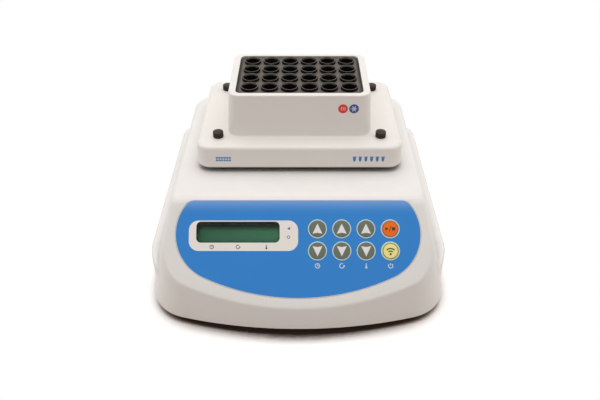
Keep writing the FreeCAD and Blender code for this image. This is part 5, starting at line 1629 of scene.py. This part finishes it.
@dataclass
class Works:
    """Everything inside: electronics, fan, drive and platform."""

    finishes: dict[str, Finish] = field(default_factory=lambda: {
        "main_board": BOARD_GREEN,
        "board_standoffs": BRASS,
        "board_components": PART_BLACK,
        "fan_frame": FAN_BLACK,
        "fan_rotor": FAN_BLACK,
        "fan_screws": ZINC,
        "chassis_plate": MILLED,
        "chassis_posts": MILLED,
        "motor_body": ZINC,
        "motor_screws": ZINC,
        "drive_crank": TURNED,
        "counterweight": BRASS,
        "lower_bearings": GROUND,
        "upper_bearings": GROUND,
        **{f"idler_crank_{number}": TURNED for number in range(1, 5)},
        "platform_frame": MILLED,
        "platform_posts": MILLED,
        "platform_plate": MILLED,
        "heat_sink": MILLED,
        "peltier_modules": CERAMIC,
        "insulation_pad": FOAM,
        "temperature_sensor": ZINC,
    })

    def build(self) -> None:
        """Dress each hidden piece."""
        for node, finish in self.finishes.items():
            smooth_node(node, finish)


# Stage, light and camera

@dataclass
class Studio:
    """White floor, soft light from above and the photograph's camera.

    Places and sizes are in metres, but the lens and the reach of the floor's painted shadow are in
    millimetres. Where that painted shadow is full and where it ends is given as a share of open sky in the
    middle, and how that share grows with the square of the distance to the side.
    """

    camera_place: tuple[float, float, float] = (0.00144, -0.4488, 0.3819)
    camera_tilt: float = 52.63
    lens: float = 37.16
    sensor_width: float = 36.0
    floor_size: float = 6.0
    key_place: tuple[float, float, float] = (0.0, 0.12, 1.3)
    key_size: float = 1.3
    key_power: float = 9.9
    side_place: tuple[float, float, float] = (1.2, 0.15, 0.55)
    side_size: float = 1.0
    side_power: float = 2.7
    aim: tuple[float, float, float] = (0.0, 0.0, 0.08)
    ambient: float = 0.43
    ambient_tint: str = "fffaf5"
    paper_level: float = 1.35
    paper_spread: float = 1.02
    paper_roughness: float = 0.8
    paper_shine: float = 0.1
    bounce: str = "cdc2b9"
    # Painted shadow on the floor: its colour, its warm penumbra and where it reaches.
    shade: str = "4c4440"
    penumbra: str = "ffe4d8"
    shade_reach: float = 30.0
    shade_samples: int = 16
    shade_full: Point = (0.614, -32.0)
    shade_none: Point = (0.67, 5.0)
    fade: Point = (0.15, 0.26)

    def build(self) -> None:
        """Set the stage."""
        self.floor()
        self.lamp("key_light", self.key_place, self.key_size, self.key_power)
        across, depth, height = self.side_place
        for name, side in (("left_light", -1), ("right_light", 1)):
            self.lamp(name, (side * across, depth, height), self.side_size, self.side_power)
        self.world()
        self.camera()
        bpy.context.scene.view_settings.view_transform = "Standard"

    def floor(self) -> None:
        """Lay the pale floor that keeps the object's shadow."""
        mesh = bmesh.new()
        bmesh.ops.create_grid(mesh, x_segments=1, y_segments=1, size=self.floor_size / 2)
        data = bpy.data.meshes.new("floor")
        mesh.to_mesh(data)
        mesh.free()
        nodes = Surface("floor_white")
        self.wire_floor(nodes)
        data.materials.append(nodes.material)
        floor = bpy.data.objects.new("floor", data)
        bpy.context.scene.collection.objects.link(floor)

    def wire_floor(self, nodes: Surface) -> None:
        """Set up white paper that takes the real shadow and a painted shadow near the object, and fades to
        plain white further out.

        Args:
            nodes: The floor's material.
        """
        seen = nodes.seen_directly()
        tones = (grey(self.paper_level), grey(self.paper_level * self.paper_spread))
        paper = nodes.blend(nodes.effect(EFFECTS.grain).outputs["Tone"], *tones)
        # Painted shadow: the paper darkens to a warm dark grey where little open space lies round it.
        openness = self.openness(nodes)
        depth = nodes.blend(openness, linear(self.shade), paper)
        warmth = nodes.blend(openness, linear(self.penumbra), WHITE)
        shaded = nodes.blend(1.0, depth, warmth, "MULTIPLY")
        nodes.dress(
            Base_Color=nodes.blend(seen, linear(self.bounce), shaded),
            Roughness=self.paper_roughness, Specular_IOR_Level=self.paper_shine,
        )
        plain = nodes.node("ShaderNodeEmission", {"Color": WHITE})
        near_and_far = nodes.node("ShaderNodeMixShader", {
            "Fac": self.far_share(nodes, seen), 1: nodes.shader.outputs["BSDF"], 2: plain.outputs["Emission"],
        })
        clear_below = nodes.node("ShaderNodeMixShader", {
            "Fac": nodes.node("ShaderNodeNewGeometry").outputs["Backfacing"],
            1: near_and_far.outputs["Shader"],
            2: nodes.node("ShaderNodeBsdfTransparent").outputs["BSDF"],
        })
        nodes.feed(nodes.tree.nodes["Material Output"], {"Surface": clear_below.outputs["Shader"]})

    def openness(self, nodes: Surface) -> Socket:
        """Measure how open the floor lies, for its painted shadow, with a softer edge at the object's sides.

        Args:
            nodes: The floor's material.

        Returns:
            The socket with the measure, from nought under the object to one.
        """
        aside = nodes.axis(nodes.place(), "X")
        square = nodes.math("MULTIPLY", aside, aside)
        bounds = [
            nodes.math("MULTIPLY_ADD", square, growth, middle)
            for middle, growth in (self.shade_full, self.shade_none)
        ]
        return nodes.span(nodes.nearby(self.shade_reach, self.shade_samples), *bounds, shape="SMOOTHSTEP")

    def far_share(self, nodes: Surface, seen: Socket) -> Socket:
        """Return how far the floor has faded to plain white, for rays that see it directly.

        Args:
            nodes: The floor's material.
            seen: One for rays that see the floor directly.

        Returns:
            The socket with the share.
        """
        away = nodes.node("ShaderNodeVectorMath", {0: nodes.place()}, operation="LENGTH").outputs["Value"]
        return nodes.math("MULTIPLY", nodes.span(away, *self.fade, shape="SMOOTHSTEP"), seen)

    def lamp(self, name: str, place: tuple[float, float, float], size: float, power: float) -> None:
        """Add a square area lamp that looks at the object.

        Args:
            name: Name of the lamp.
            place: Where it hangs.
            size: Side of the square.
            power: Power in watts.
        """
        data = bpy.data.lights.new(name, "AREA")
        data.size = size
        data.energy = power
        lamp = bpy.data.objects.new(name, data)
        lamp.location = place
        lamp.rotation_euler = (Vector(self.aim) - Vector(place)).to_track_quat("-Z", "Y").to_euler()
        bpy.context.scene.collection.objects.link(lamp)

    def world(self) -> None:
        """Set white surroundings: full strength for what the camera sees, softer as light."""
        world = bpy.data.worlds.new("studio")
        world.use_nodes = True
        bpy.context.scene.world = world
        nodes = Wiring(world.node_tree)
        seen = nodes.seen_directly()
        nodes.feed(nodes.tree.nodes["Background"], {
            "Color": nodes.blend(seen, linear(self.ambient_tint), WHITE),
            "Strength": nodes.span(seen, ends=(self.ambient, 1.0)),
        })

    def camera(self) -> None:
        """Set the camera at the photograph's place and angle."""
        data = bpy.data.cameras.new("camera")
        data.lens = self.lens
        data.sensor_width = self.sensor_width
        camera = bpy.data.objects.new("camera", data)
        camera.location = self.camera_place
        camera.rotation_euler = (math.radians(self.camera_tilt), 0, 0)
        bpy.context.scene.collection.objects.link(camera)
        bpy.context.scene.camera = camera


def main() -> None:
    """Build every sub-assembly, then the studio."""
    logging.basicConfig(level=logging.INFO, format="%(name)s: %(message)s")
    for part in (Casing(), FrontPanel(), TubeBlock(), RearPanel(), Works()):
        part.build()
        LOG.info("%s done", type(part).__name__)
    Studio().build()


if __name__ == "__main__":
    main()
